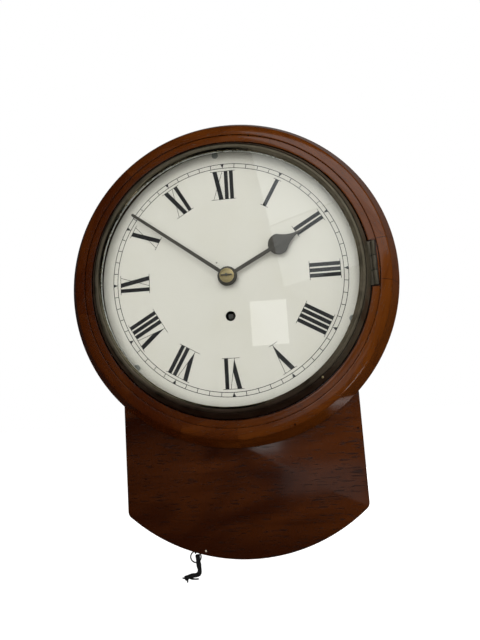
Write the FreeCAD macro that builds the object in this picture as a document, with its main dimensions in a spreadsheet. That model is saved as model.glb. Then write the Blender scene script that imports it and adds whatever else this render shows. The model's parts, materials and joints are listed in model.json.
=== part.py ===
"""Drop dial wall clock: a fusee timepiece with a 12 inch dial in a mahogany case.

Sizes are millimetres. Pieces are drawn about the dial's centre, with the wall at y = 0 and
the front towards -Y, and each is then lowered so that the hole of the hanging plate is the
origin. A depth, written f, is a distance forward from the wall.
"""
import FreeCAD
import Part
import Sketcher
import math
import os

SIZES = {
    # case
    "hang_drop": 140.0,
    "case_width": 278.4,
    "case_top": 125.0,
    "case_depth": 115.0,
    "drop_reach": 321.5,
    "bottom_radius": 209.0,
    "corner_radius": 9.0,
    "side_board": 10.0,
    "back_board": 12.0,
    "front_board": 10.0,
    "top_board": 10.0,
    "bottom_board": 8.0,
    "front_top": 125.0,
    "corner_upstand": 8.0,
    # bottom door and its pull
    "bottom_door_width": 150.0,
    "door_gap": 1.0,
    "pull_offset": 64.5,
    "pull_setback": 15.0,
    "eye_radius": 2.6,
    "eye_wire": 0.8,
    "eye_stem": 5.5,
    "ring_radius": 6.2,
    "ring_wire": 0.8,
    "lace_width": 5.0,
    # side door
    "side_door_back": 28.0,
    "side_door_width": 52.0,
    "side_door_height": 110.0,
    "side_door_drop": 55.0,
    "button_length": 20.0,
    "button_width": 7.0,
    "button_thick": 2.0,
    "button_offset": 6.0,
    "button_pin": 1.5,
    # butt hinges
    "leaf_gap": 2.0,
    "leaf_thick": 0.9,
    "leaf_depth": 6.5,
    "knuckle_radius": 2.2,
    "knuckle_stand": 2.4,
    "hinge_pin": 0.9,
    "door_hinge_length": 24.0,
    "hinge_inset": 22.0,
    # hanging plate
    "hanger_width": 36.0,
    "hanger_thick": 3.0,
    "hanger_hole": 4.75,
    "hanger_lap": 37.0,
    "screw_shank": 1.9,
    "screw_head": 3.6,
    "screw_head_thick": 1.4,
    "hanger_screw_length": 10.0,
    # dial surround
    "opening_radius": 132.0,
    "rebate_gap": 4.5,
    "rebate_depth": 20.0,
    "band_width": 8.0,
    "band_rise": 5.6,
    "band_fall": 1.0,
    "band_radius": 7.0,
    "groove_width": 1.4,
    "groove_depth": 2.0,
    "crown_rise": 26.0,
    "crown_radius": 28.6,
    "crown_start": 3.0,
    "crown_tilt": 25.0,
    "shoulder_radius": 6.0,
    "flank_tilt": 59.0,
    "foot_height": 3.0,
    "foot_chamfer": 1.5,
    "cheek_width": 14.0,
    "cheek_depth": 30.0,
    "cheek_half": 85.0,
    "peg_radius": 4.0,
    "peg_height": 70.0,
    "peg_setback": 15.0,
    "peg_head": 2.5,
    # bezel
    "bezel_inset": 1.0,
    "bezel_lip": 10.4,
    "bezel_stand": 2.4,
    "bezel_wall": 4.4,
    "bezel_height": 14.6,
    "bezel_band": 3.0,
    "bezel_bead": 2.0,
    "bezel_skirt": 3.8,
    "skirt_rise": 3.0,
    "glass_cover": 3.4,
    "glass_thick": 2.2,
    "glass_rise": 8.0,
    "glass_setback": 3.4,
    "retainer_thick": 2.2,
    "stud_radius": 1.7,
    "stud_height": 1.6,
    "stud_angle": 141.0,
    "bezel_hinge_length": 50.0,
    "bezel_hinge_stand": 8.0,
    "bezel_hinge_rise": 5.4,
    "bezel_leaf_thick": 1.2,
    "bezel_leaf_fixed": 3.4,
    "bezel_leaf_bite": 3.0,
    "bezel_knuckle": 2.4,
    # dial
    "dial_radius": 160.0,
    "dial_thick": 1.6,
    "dial_hole": 6.4,
    "winding_hole": 5.9,
    "winding_drop": 46.0,
    "dial_screw_share": 0.6536,
    "dial_screw_first": -2.4,
    "dial_screw_step": 115.9,
    "dial_screw_shank": 1.5,
    "dial_screw_head": 3.7,
    "dial_screw_head_thick": 1.2,
    "dial_screw_length": 11.0,
    # hands
    "hand_thick": 1.2,
    "hour_hand_rise": 5.6,
    "hour_hand_angle": 62.7,
    "hour_boss": 11.5,
    "hour_stem": 4.4,
    "hour_bulb_at": 69.6,
    "hour_bulb": 12.3,
    "hour_neck_at": 94.0,
    "hour_neck": 2.8,
    "hour_tip_at": 106.0,
    "hand_spacing": 3.2,
    "minute_hand_angle": 308.1,
    "minute_boss": 10.0,
    "minute_margin": 25.0,
    "minute_root": 4.4,
    "minute_tip": 3.5,
    "collet_radius": 8.4,
    "collet_height": 2.6,
    "collet_pin": 0.8,
    "collet_pin_length": 13.0,
    # movement frame
    "plate_width": 136.0,
    "plate_top": 68.0,
    "plate_foot": 100.0,
    "plate_thick": 3.5,
    "plate_corner": 6.0,
    "motion_space": 13.0,
    "pillar_length": 52.0,
    "pillar_radius": 5.0,
    "pillar_x": 60.0,
    "pillar_top": 60.0,
    "pillar_foot": 92.0,
    "foot_radius": 4.0,
    "foot_height_z": 34.0,
    "spigot_radius": 2.2,
    "spigot_length": 7.0,
    "lock_pin": 0.7,
    "lock_pin_length": 12.0,
    # train
    "arbor_radius": 1.5,
    "escape_arbor": 1.1,
    "pivot_radius": 0.9,
    "running_fit": 0.05,
    "end_play": 0.3,
    "great_teeth": 72.0,
    "centre_teeth": 72.0,
    "third_teeth": 60.0,
    "pinion_leaves": 6.0,
    "escape_teeth": 30.0,
    "third_distance": 28.2,
    "third_angle": 39.3,
    "escape_height": 30.7,
    "escape_radius": 18.0,
    "escape_depth": 3.6,
    "great_thick": 3.0,
    "wheel_thick": 1.8,
    "wheel_rim": 2.4,
    "great_arm": 6.0,
    "great_hub": 15.0,
    "centre_arm": 4.0,
    "centre_hub": 5.0,
    "third_arm": 3.0,
    "third_hub": 4.0,
    "escape_arm": 2.6,
    "escape_hub": 3.5,
    "escape_rim": 2.0,
    "great_setback": 1.5,
    "centre_setback": 8.7,
    "third_setback": 17.5,
    "escape_setback": 7.0,
    "pallet_thick": 2.4,
    "pallet_clear": 1.2,
    "pallet_hub": 5.0,
    "pallet_toe": 5.5,
    "pallet_heel": 3.0,
    "crutch_reach": 80.0,
    "crutch_width": 3.0,
    "crutch_pin": 1.3,
    # winding
    "winding_arbor": 4.0,
    "winding_neck": 3.3,
    "winding_square": 5.3,
    "winding_reach": 11.0,
    "fusee_large": 19.5,
    "fusee_small": 10.5,
    "fusee_turns": 12.0,
    "fusee_pitch": 3.0,
    "fusee_groove": 0.9,
    "fusee_flange": 21.5,
    "fusee_flange_thick": 1.5,
    "barrel_distance": 47.0,
    "barrel_angle": 245.0,
    "barrel_radius": 22.0,
    "barrel_wall": 2.0,
    "barrel_length": 34.0,
    "barrel_setback": 7.5,
    "barrel_arbor": 3.0,
    "barrel_hub": 6.4,
    "spring_thick": 0.8,
    "spring_turns": 5.0,
    "line_radius": 0.8,
    "ratchet_radius": 9.0,
    "ratchet_thick": 2.0,
    "ratchet_depth": 1.25,
    "ratchet_teeth": 24.0,
    "click_length": 16.0,
    # motion work
    "cannon_teeth": 16.0,
    "minute_teeth": 48.0,
    "minute_leaves": 12.0,
    "hour_teeth": 48.0,
    "stud_distance": 24.0,
    "stud_pin": 1.4,
    "motion_gap": 1.5,
    "motion_wheel": 2.0,
    "motion_arm": 3.0,
    "motion_hub": 7.0,
    "cannon_pipe": 2.6,
    "cannon_nose": 1.9,
    "bridge_pipe": 3.6,
    "bridge_thick": 1.2,
    "bridge_half": 19.5,
    "bridge_width": 8.0,
    "hour_pipe": 5.0,
    "friction_radius": 5.0,
    "friction_thick": 0.8,
    # pendulum
    "pendulum_length": 248.0,
    "pendulum_stand": 6.0,
    "rod_width": 7.0,
    "rod_thick": 3.0,
    "rod_top": 10.0,
    "rod_thread": 1.4,
    "bob_radius": 40.0,
    "bob_thick": 18.0,
    "bob_edge": 2.0,
    "nut_radius": 5.0,
    "nut_height": 5.0,
    "strip_thick": 0.4,
    "strip_width": 6.0,
    "strip_length": 26.0,
    "strip_play": 0.6,
    "cock_span": 36.0,
    "cock_arm": 5.0,
    "cock_thick": 3.0,
    "cock_reach": 15.0,
    "cock_rise": 11.0,
    "cock_fall": 5.0,
    "cock_block": 12.0,
    "cock_screw": 1.5,
    # clearance between faces that do not touch
    "face_gap": 0.3,
}


class Size:
    """A number together with the sheet expression that gives it."""

    def __init__(self, number, text):
        self.number = float(number)
        self.text = text

    def __float__(self):
        return self.number

    def __add__(self, other):
        other = as_size(other)
        return Size(self.number + other.number, f"({self.text} + {other.text})")

    def __sub__(self, other):
        other = as_size(other)
        return Size(self.number - other.number, f"({self.text} - {other.text})")

    def __mul__(self, other):
        other = as_size(other)
        return Size(self.number * other.number, f"({self.text} * {other.text})")

    def __truediv__(self, other):
        other = as_size(other)
        return Size(self.number / other.number, f"({self.text} / {other.text})")

    def __radd__(self, other):
        return as_size(other) + self

    def __rsub__(self, other):
        return as_size(other) - self

    def __rmul__(self, other):
        return as_size(other) * self

    def __rtruediv__(self, other):
        return as_size(other) / self

    def __neg__(self):
        return Size(-self.number, f"(-{self.text})")


def as_size(value):
    """A plain number as a Size, or the Size itself."""
    return value if isinstance(value, Size) else Size(value, repr(float(value)))


def root(value):
    """The square root of a Size."""
    return Size(math.sqrt(value.number), f"sqrt({value.text})")


def sine(angle):
    """The sine of a Size in degrees."""
    return Size(math.sin(math.radians(angle.number)), f"sin({angle.text})")


def cosine(angle):
    """The cosine of a Size in degrees."""
    return Size(math.cos(math.radians(angle.number)), f"cos({angle.text})")


class Sheet:
    """The driving sizes, each read as an attribute."""

    def __init__(self, document, sizes):
        cells = document.addObject("Spreadsheet::Sheet", "Sizes")
        for row, (alias, number) in enumerate(sizes.items(), start=1):
            cells.set(f"A{row}", alias)
            cells.set(f"B{row}", str(number))
            cells.setAlias(f"B{row}", alias)
            setattr(self, alias, Size(number, f"Sizes.{alias}"))


doc = FreeCAD.newDocument("DropDialClock")
S = Sheet(doc, SIZES)
doc.recompute()
Vector = FreeCAD.Vector
FORWARD = FreeCAD.Rotation(Vector(1, 0, 0), 90)
RIGHTWARD = FreeCAD.Rotation(Vector(0, 1, 0), 90)
QUARTER = FreeCAD.Rotation(Vector(0, 0, 1), 90)
UNTURNED = FreeCAD.Rotation()
parts = {}


# Drawing helpers


def bind(target, path, value):
    """Tie a property to the sheet."""
    target.setExpression(path, as_size(value).text)


def place(target, x, f, z, rotation=UNTURNED):
    """Put an object at a point, f forward of the wall."""
    target.Placement = FreeCAD.Placement(Vector(), rotation)
    bind(target, "Placement.Base.x", x)
    bind(target, "Placement.Base.y", -as_size(f))
    bind(target, "Placement.Base.z", z)
    return target


def finish(label, target):
    """Name a finished sub-part and lower it from the dial's centre to the hanging hole."""
    target.Label = label
    bind(target, "Placement.Base.z", -S.hang_drop)
    parts[label] = target
    return target


def box(x, f, z):
    """A block between pairs of x, f and z."""
    block = doc.addObject("Part::Box", "Block")
    bind(block, "Length", x[1] - as_size(x[0]))
    bind(block, "Width", f[1] - as_size(f[0]))
    bind(block, "Height", z[1] - as_size(z[0]))
    return place(block, x[0], f[1], z[0])


def rod(radius, length, x, f, z, rotation=FORWARD):
    """A round rod from a point, running forward unless it is turned."""
    bar = doc.addObject("Part::Cylinder", "Rod")
    bind(bar, "Radius", radius)
    bind(bar, "Height", length)
    return place(bar, x, f, z, rotation)


def loop(radius, wire, x, f, z, rotation):
    """A round ring of wire about a point."""
    ring = doc.addObject("Part::Torus", "Loop")
    bind(ring, "Radius1", radius)
    bind(ring, "Radius2", wire)
    return place(ring, x, f, z, rotation)


def cut(base, *tools):
    """One solid less others."""
    made = doc.addObject("Part::Cut", "Cut")
    made.Base = base
    made.Tool = tools[0] if len(tools) == 1 else group(*tools)
    return made


def fuse(*solids):
    """Several solids made one."""
    made = doc.addObject("Part::MultiFuse", "Fuse")
    made.Shapes = list(solids)
    made.Refine = True
    return made


def group(*solids):
    """Separate solids kept together."""
    made = doc.addObject("Part::Compound", "Group")
    made.Links = list(solids)
    return made


def arc_between(start, end, radius):
    """A circular arc between two points, bending left for a positive radius."""
    (x0, y0), (x1, y1) = start, end
    chord = math.hypot(x1 - x0, y1 - y0)
    reach = math.copysign(math.sqrt(radius * radius - chord * chord / 4), radius)
    centre = Vector((x0 + x1) / 2 - reach * (y1 - y0) / chord, (y0 + y1) / 2 + reach * (x1 - x0) / chord, 0)
    first, last = (start, end) if radius > 0 else (end, start)
    angles = [math.atan2(y - centre.y, x - centre.x) for x, y in (first, last)]
    return Part.ArcOfCircle(Part.Circle(centre, Vector(0, 0, 1), abs(radius)), *angles)


def draw(sketch, points):
    """Close an outline through points. A third value is the radius of the arc that leads to it."""
    points = [tuple(as_size(value) for value in point) for point in points]
    edges, rules, ties = [], [], []
    for point, after in zip(points, points[1:] + points[:1]):
        start, end = [(float(p[0]), float(p[1])) for p in (point, after)]
        if len(after) == 2:
            line = Part.LineSegment(Vector(*start, 0), Vector(*end, 0))
            edges.append((sketch.addGeometry(line), 1, 2))
            continue
        number = sketch.addGeometry(arc_between(start, end, float(after[2])))
        edges.append((number, 1, 2) if float(after[2]) > 0 else (number, 2, 1))
        size = after[2] if float(after[2]) > 0 else -after[2]
        ties.append((Sketcher.Constraint("Radius", number, float(size)), size))
    for edge, after in zip(edges, edges[1:] + edges[:1]):
        rules.append(Sketcher.Constraint("Coincident", edge[0], edge[2], after[0], after[1]))
    for (number, start, _), point in zip(edges, points):
        for kind, axis, value in (("DistanceX", -2, point[0]), ("DistanceY", -1, point[1])):
            if value.text == "0.0":
                rules.append(Sketcher.Constraint("PointOnObject", number, start, axis))
            else:
                ties.append((Sketcher.Constraint(kind, -1, 1, number, start, float(value)), value))
    tie_down(sketch, rules, ties)


def draw_circle(sketch, x, y, radius):
    """A circle about a point."""
    circle = Part.Circle(Vector(float(x), float(y), 0), Vector(0, 0, 1), float(radius))
    number = sketch.addGeometry(circle)
    rules, ties = [], [(Sketcher.Constraint("Radius", number, float(radius)), radius)]
    for kind, axis, value in (("DistanceX", -2, as_size(x)), ("DistanceY", -1, as_size(y))):
        if value.text == "0.0":
            rules.append(Sketcher.Constraint("PointOnObject", number, 3, axis))
        else:
            ties.append((Sketcher.Constraint(kind, -1, 1, number, 3, float(value)), value))
    tie_down(sketch, rules, ties)


def tie_down(sketch, rules, ties):
    """Add constraints to a sketch, those with a size tied to the sheet."""
    first = sketch.ConstraintCount + len(rules)
    sketch.addConstraint(rules + [constraint for constraint, _ in ties])
    for number, (_, size) in enumerate(ties, start=first):
        bind(sketch, f"Constraints[{number}]", size)


def sketch_in(body, role, offset):
    """A sketch on one of a body's own planes, moved by an offset in that plane's axes."""
    sketch = body.newObject("Sketcher::SketchObject", "Profile")
    plane = next(feature for feature in body.Origin.OriginFeatures if feature.Role == role)
    sketch.AttachmentSupport = [(plane, "")]
    sketch.MapMode = "FlatFace"
    for axis, value in zip("xyz", offset):
        bind(sketch, f"AttachmentOffset.Base.{axis}", value)
    return sketch


def pad(body, sketch, length):
    """Thicken a sketch."""
    made = body.newObject("PartDesign::Pad", "Pad")
    made.Profile = sketch
    bind(made, "Length", length)
    return made


def flat(outlines, circles, back, thick, body=None):
    """A piece cut to an outline in x and z, from one depth forward."""
    body = body or doc.addObject("PartDesign::Body", "Flat")
    sketch = sketch_in(body, "XZ_Plane", (0, 0, back))
    for outline in outlines:
        draw(sketch, outline)
    for x, z, radius in circles:
        draw_circle(sketch, x, z, radius)
    pad(body, sketch, thick)
    return body


def upright(outlines, circles, x, thick):
    """A piece cut to an outline in f and z, thickened towards +X."""
    body = doc.addObject("PartDesign::Body", "Upright")
    sketch = sketch_in(body, "YZ_Plane", (0, 0, x))
    for outline in outlines:
        draw(sketch, [(-as_size(f), z) for f, z in outline])
    for f, z, radius in circles:
        draw_circle(sketch, -as_size(f), z, radius)
    pad(body, sketch, thick)
    return body


def turned(profile, x=0, z=0):
    """A piece turned about an axis that runs forward, from a profile in radius and f."""
    body = doc.addObject("PartDesign::Body", "Turned")
    sketch = sketch_in(body, "XY_Plane", (x, 0, z))
    draw(sketch, [(point[0], -as_size(point[1]), *(-as_size(r) for r in point[2:])) for point in profile])
    made = body.newObject("PartDesign::Revolution", "Revolution")
    made.Profile = sketch
    made.ReferenceAxis = (sketch, ["V_Axis"])
    made.Angle = 360
    return body


def shaped(shape):
    """A piece whose shape is worked out from the sizes."""
    made = doc.addObject("Part::Feature", "Shaped")
    made.Shape = shape
    return made


# Depths and radii shared by several pieces

half = S.case_width / 2
inner_half = half - S.side_board
front_back = S.case_depth - S.front_board
dial_back = S.case_depth + S.rebate_depth
dial_face = dial_back + S.dial_thick
plate_face = dial_back - S.motion_space
plate_inside = plate_face - S.plate_thick
back_inside = plate_inside - S.pillar_length
back_outside = back_inside - S.plate_thick
rebate_radius = S.dial_radius + S.rebate_gap
dial_screw_circle = S.opening_radius + (S.dial_radius - S.opening_radius) * S.dial_screw_share
bezel_radius = S.dial_radius - S.bezel_inset
sight_radius = bezel_radius - S.bezel_lip
glass_radius = sight_radius + S.glass_cover
bezel_hinge_reach = bezel_radius + S.bezel_hinge_stand
bezel_leaf_moving = S.bezel_hinge_stand + S.bezel_leaf_bite

# Case outline: straight sides, rounded corners and a bottom swept to one radius

sweep_z = S.bottom_radius - S.drop_reach
corner_x = half - S.corner_radius
corner_sweep = S.bottom_radius - S.corner_radius
corner_z = sweep_z - root(corner_sweep * corner_sweep - corner_x * corner_x)
corner_share = S.bottom_radius / corner_sweep
corner_end = (corner_x * corner_share, sweep_z + (corner_z - sweep_z) * corner_share)
inner_radius = S.bottom_radius - S.bottom_board
side_foot = corner_z + S.corner_upstand


def outer_sweep(x):
    """Height of the bottom's outer face."""
    return sweep_z - root(S.bottom_radius * S.bottom_radius - x * x)


def inner_sweep(x):
    """Height of the bottom's inner face."""
    return sweep_z - root(inner_radius * inner_radius - x * x)


def case_outline(top):
    """The outline that the backboard and the drop front share below their top edges."""
    return [
        (half, top),
        (-half, top),
        (-half, corner_z),
        (-corner_end[0], corner_end[1], S.corner_radius),
        (corner_end[0], corner_end[1], S.bottom_radius),
        (half, corner_z, S.corner_radius),
    ]


# Hanging plate, let into the top of the backboard

hanger_half = S.hanger_width / 2
hanger_foot = S.case_top - S.hanger_lap
hanger_screws = [
    (0, hanger_foot + S.hanger_lap / 4),
    (-hanger_half / 2, hanger_foot + S.hanger_lap * 3 / 4),
    (hanger_half / 2, hanger_foot + S.hanger_lap * 3 / 4),
]
hanger_outline = [
    (hanger_half, hanger_foot),
    (hanger_half, S.hang_drop),
    (-hanger_half, S.hang_drop, hanger_half * 1.001),
    (-hanger_half, hanger_foot),
]


def screw_holes():
    """Clearance for the hanging plate's screws, heads flush with the wall side."""
    holes = []
    for x, z in hanger_screws:
        holes.append(rod(S.screw_shank + S.running_fit, S.hanger_screw_length + S.face_gap, x, 0, z))
        holes.append(rod(S.screw_head + S.running_fit, S.screw_head_thick + S.face_gap, x, 0, z))
    return holes


def hanging_plate():
    """The plate with the hole that hangs on the wall's screw."""
    plate = flat([hanger_outline], [(0, S.hang_drop, S.hanger_hole)], 0, S.hanger_thick)
    finish("hanging_plate", cut(plate, *screw_holes()))


def hanger_screw_solids():
    """The plate's wood screws."""
    solids = []
    for x, z in hanger_screws:
        shank = rod(S.screw_shank, S.hanger_screw_length - S.face_gap, x, S.face_gap, z)
        head = rod(S.screw_head, S.screw_head_thick, x, S.face_gap, z)
        solids.append(fuse(shank, head))
    return solids


def backboard():
    """The board against the wall, recessed for the hanging plate."""
    board = flat([case_outline(S.case_top)], [], 0, S.back_board)
    recess = box((-hanger_half, hanger_half), (0, S.hanger_thick), (hanger_foot, S.case_top))
    finish("backboard", cut(board, recess, *screw_holes()))


# Case boards

peg_f = S.case_depth - S.peg_setback
door_front = S.side_door_back + S.side_door_width
door_low = -S.side_door_drop - S.side_door_height / 2
door_high = -S.side_door_drop + S.side_door_height / 2


def sides():
    """The two sides. The right one has the opening for the side door."""
    outline = [
        (S.back_board, side_foot),
        (front_back, side_foot),
        (front_back, -S.front_top),
        (S.case_depth, -S.front_top),
        (S.case_depth, S.case_top),
        (S.back_board, S.case_top),
    ]
    doorway = [
        (S.side_door_back, door_low),
        (door_front, door_low),
        (door_front, door_high),
        (S.side_door_back, door_high),
    ]
    pegs = [(peg_f, z, S.peg_radius + S.running_fit) for z in (S.peg_height, -S.peg_height)]
    finish("side_left", upright([outline], pegs, -half, S.side_board))
    pivot = (door_front + S.button_offset, -S.side_door_drop, S.button_pin)
    finish("side_right", upright([outline, doorway], pegs + [pivot], inner_half, S.side_board))


def boards():
    """Top board, drop front and the fixed parts of the bottom."""
    top = (S.case_top - S.top_board, S.case_top)
    finish("top_board", group(box((-inner_half, inner_half), (S.back_board, S.case_depth), top)))
    finish("drop_front", flat([case_outline(-S.front_top)], [], front_back, S.front_board))
    edge = S.bottom_door_width / 2
    halves = []
    for side in (1, -1):
        outline = [
            (side * edge, outer_sweep(edge)),
            (side * corner_end[0], corner_end[1], side * S.bottom_radius),
            (side * half, corner_z, side * S.corner_radius),
            (side * half, side_foot),
            (side * inner_half, side_foot),
            (side * inner_half, inner_sweep(inner_half)),
            (side * edge, inner_sweep(edge), -side * inner_radius),
        ]
        halves.append(flat([outline], [], S.back_board, front_back - S.back_board))
    finish("bottom_boards", group(*halves))


# Butt hinges: two end knuckles on the fixed leaf, one in the middle on the moving leaf


def hinge_leaf(plate_x, plate_y, length, knuckle, moving, spot, rotation):
    """One leaf about its local Z axis, placed at a spot."""
    sixth = length / 6
    ends = [(-length / 2, -sixth), (sixth, length / 2)]
    middle = [(-sixth, sixth)]
    own, other = (middle, ends) if moving else (ends, middle)
    play = S.face_gap / 2
    depth = (-as_size(plate_y[1]), -as_size(plate_y[0]))
    plate = box(plate_x, depth, (-length / 2, length / 2))
    shrink = play if moving else as_size(0)
    grow = play if moving else as_size(0)
    spaces = [
        rod(knuckle + S.face_gap, high - low + grow * 2, 0, 0, low - grow, UNTURNED) for low, high in other
    ]
    knuckles = [
        rod(knuckle, high - low - shrink * 2, 0, 0, low + shrink, UNTURNED) for low, high in own
    ]
    bore = rod(S.hinge_pin + S.running_fit, length, 0, 0, -length / 2, UNTURNED)
    leaf = cut(fuse(cut(plate, *spaces), *knuckles), bore)
    return place(leaf, *spot, rotation)


def hinge_pin(length, spot, rotation):
    """A hinge's pin, centred on a spot."""
    pin = rod(S.hinge_pin, length, 0, 0, -length / 2, UNTURNED)
    return place(group(pin), *spot, rotation)


leaf_outer = S.leaf_gap / 2
leaf_inner = leaf_outer - S.leaf_thick
door_leaf_y = (0, S.knuckle_stand + S.leaf_depth)
bottom_edge = S.bottom_door_width / 2
bottom_axis = (bottom_edge - leaf_outer, outer_sweep(bottom_edge - S.leaf_gap) - S.knuckle_stand)
bottom_hinges = [
    (bottom_axis[0], f, bottom_axis[1])
    for f in (S.back_board + S.hinge_inset, front_back - S.hinge_inset)
]
side_axis = (half + S.knuckle_stand, S.side_door_back + leaf_outer)
side_hinges = [
    (side_axis[0], side_axis[1], z) for z in (door_low + S.hinge_inset, door_high - S.hinge_inset)
]
bezel_axis = (bezel_hinge_reach, dial_face + S.bezel_hinge_rise, as_size(0))


def door_hinges():
    """The hinges of both doors and the pins of all hinges."""
    fixed, pins = [], []
    leaf_x = {False: (leaf_inner, leaf_outer), True: (-leaf_outer, -leaf_inner)}
    length = S.door_hinge_length
    for name, spots, rotation in (
        ("bottom_hinge_moving", bottom_hinges, FORWARD),
        ("side_hinge_moving", side_hinges, QUARTER),
    ):
        leaves = {
            moving: [
                hinge_leaf(leaf_x[moving], door_leaf_y, length, S.knuckle_radius, moving, spot, rotation)
                for spot in spots
            ]
            for moving in (False, True)
        }
        fixed += leaves[False]
        finish(name, group(*leaves[True]))
        pins += [hinge_pin(length, spot, rotation) for spot in spots]
    finish("door_hinges_fixed", group(*fixed))
    pins.append(hinge_pin(S.bezel_hinge_length, bezel_axis, UNTURNED))
    finish("hinge_pins", group(*pins))


# Bottom door with its screw eye, pull ring and lace

pull_f = S.case_depth - S.pull_setback
pull_surface = outer_sweep(S.pull_offset)
eye_z = pull_surface - S.eye_radius - S.eye_wire
ring_top = eye_z - S.eye_radius + S.eye_wire + S.ring_wire + S.face_gap
ring_z = ring_top - S.ring_radius


def bottom_door():
    """The curved door under the drop, hinged at its right edge."""
    left = bottom_edge - S.door_gap
    right = bottom_edge - S.leaf_gap
    outline = [
        (-left, outer_sweep(left)),
        (right, outer_sweep(right), S.bottom_radius),
        (right, inner_sweep(right)),
        (-left, inner_sweep(left), -inner_radius),
    ]
    slack = S.door_gap / 2
    door = flat([outline], [], S.back_board + slack, front_back - S.back_board - S.door_gap)
    hole = rod(S.eye_wire + S.running_fit, S.eye_stem, -S.pull_offset, pull_f, pull_surface, UNTURNED)
    dimple = rod(S.eye_wire + S.running_fit, S.eye_wire * 2, -S.pull_offset, pull_f,
                 pull_surface - S.eye_wire, UNTURNED)
    finish("bottom_door", cut(door, hole, dimple))
    stem_foot = eye_z + S.eye_radius
    stem = rod(S.eye_wire, pull_surface + S.eye_stem - S.face_gap - stem_foot, -S.pull_offset, pull_f,
               stem_foot, UNTURNED)
    eye = loop(S.eye_radius, S.eye_wire, -S.pull_offset, pull_f, eye_z, RIGHTWARD)
    finish("pull_eye", fuse(stem, eye))
    finish("pull_ring", group(loop(S.ring_radius, S.ring_wire, -S.pull_offset, pull_f, ring_z, FORWARD)))


def lace():
    """A black lace that hangs in front of the ring and turns off to the left at its fold."""
    # route points: right of the ring, forward of its wire, above the ring's centre
    route = [(3.0, 0.3, 3.5), (3.4, 0.0, -5.5), (5.4, 0.2, -18.6), (-7.6, 0.3, -19.4), (-13.0, 0.0, -22.4)]
    radius = float(S.lace_width) / 2
    front = float(pull_f + S.ring_wire + S.lace_width / 2 + S.face_gap)
    points = [
        Vector(x - float(S.pull_offset), -(front + f), z + float(ring_z)) for x, f, z in route
    ]
    edges, bends = tangent_runs(points)
    length = sum(edge.Length for edge in edges)
    circle = Part.Wire(Part.makeCircle(radius, points[0], points[1] - points[0]))
    tube = Part.Wire(edges).makePipeShell([circle], True, False)
    print("lace length", round(length, 1), "bend radii", [round(bend, 1) for bend in bends])
    print("lace volume against section times length", round(tube.Volume / (math.pi * radius**2 * length), 4))
    finish("lace", shaped(tube))


def tangent_runs(points):
    """Straight runs joined by arcs as large as the runs allow, and the arcs' radii."""
    edges, bends = [], []
    here = points[0]
    for before, corner, after in zip(points, points[1:], points[2:]):
        back, ahead = before - corner, after - corner
        reach = 0.45 * min(back.Length, ahead.Length)
        back.normalize()
        ahead.normalize()
        turn = math.pi - back.getAngle(ahead)
        bends.append(reach / math.tan(turn / 2))
        middle = back + ahead
        middle.normalize()
        depth = bends[-1] * (1 / math.cos(turn / 2) - 1)
        start, end = corner + back * reach, corner + ahead * reach
        edges.append(Part.LineSegment(here, start).toShape())
        edges.append(Part.Arc(start, corner + middle * depth, end).toShape())
        here = end
    edges.append(Part.LineSegment(here, points[-1]).toShape())
    return edges, bends


# Side door and its turn-button


def side_door():
    """The door in the right side, and the button that holds it."""
    depth = (S.side_door_back + S.leaf_gap, door_front - S.door_gap)
    height = (door_low + S.door_gap, door_high - S.door_gap)
    finish("side_door", group(box((inner_half, half), depth, height)))
    pivot_f = door_front + S.button_offset
    bar = box((half + S.face_gap, half + S.face_gap + S.button_thick),
              (pivot_f - S.button_width / 2, pivot_f + S.button_width / 2),
              (-S.side_door_drop - S.button_length / 2, -S.side_door_drop + S.button_length / 2))
    pin = rod(S.button_pin - S.running_fit, S.side_board + S.face_gap + S.button_thick, inner_half, pivot_f,
              -S.side_door_drop, RIGHTWARD)
    finish("turn_button", fuse(bar, pin))


# Dial surround

band_edge = rebate_radius + S.band_width
crown_lip = (band_edge + S.groove_width, S.case_depth + S.crown_rise)
crown_end = (
    crown_lip[0] + S.crown_radius * (sine(S.crown_tilt) - sine(S.crown_start)),
    crown_lip[1] - S.crown_radius * (cosine(S.crown_start) - cosine(S.crown_tilt)),
)
flank_top = (
    crown_end[0] + S.shoulder_radius * (sine(S.flank_tilt) - sine(S.crown_tilt)),
    crown_end[1] - S.shoulder_radius * (cosine(S.crown_tilt) - cosine(S.flank_tilt)),
)
foot_f = S.case_depth + S.foot_height
foot_radius = flank_top[0] + (flank_top[1] - foot_f) * cosine(S.flank_tilt) / sine(S.flank_tilt)
band_inner_f = dial_back + S.band_rise
band_outer_f = band_inner_f - S.band_fall
mortise_floor = bezel_axis[1] - S.bezel_knuckle - S.face_gap
mortise_half = S.bezel_hinge_length / 2 + S.face_gap
dial_screw_places = [
    (dial_screw_circle * sine(turn), dial_screw_circle * cosine(turn))
    for turn in (S.dial_screw_first + S.dial_screw_step * step for step in range(3))
]


def surround():
    """The turned ring round the dial, with the mortise for the bezel's hinge."""
    profile = [
        (S.opening_radius, S.case_depth),
        (S.opening_radius, dial_back),
        (rebate_radius, dial_back),
        (rebate_radius, band_inner_f),
        (band_edge, band_outer_f, -S.band_radius),
        (band_edge + S.groove_width / 2, band_outer_f - S.groove_depth),
        crown_lip,
        (crown_end[0], crown_end[1], -S.crown_radius),
        (flank_top[0], flank_top[1], -S.shoulder_radius),
        (foot_radius, foot_f),
        (foot_radius - S.foot_chamfer, S.case_depth),
    ]
    leaf_end = bezel_hinge_reach + S.bezel_leaf_fixed + S.face_gap
    mortise = box((bezel_radius, leaf_end), (mortise_floor, mortise_floor + S.bezel_knuckle * 2),
                  (-mortise_half, mortise_half))
    screws = [
        rod(S.dial_screw_shank + S.running_fit, S.dial_screw_length, x, dial_back - S.dial_screw_length, z)
        for x, z in dial_screw_places
    ]
    finish("surround", cut(turned(profile), mortise, *screws))


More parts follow.
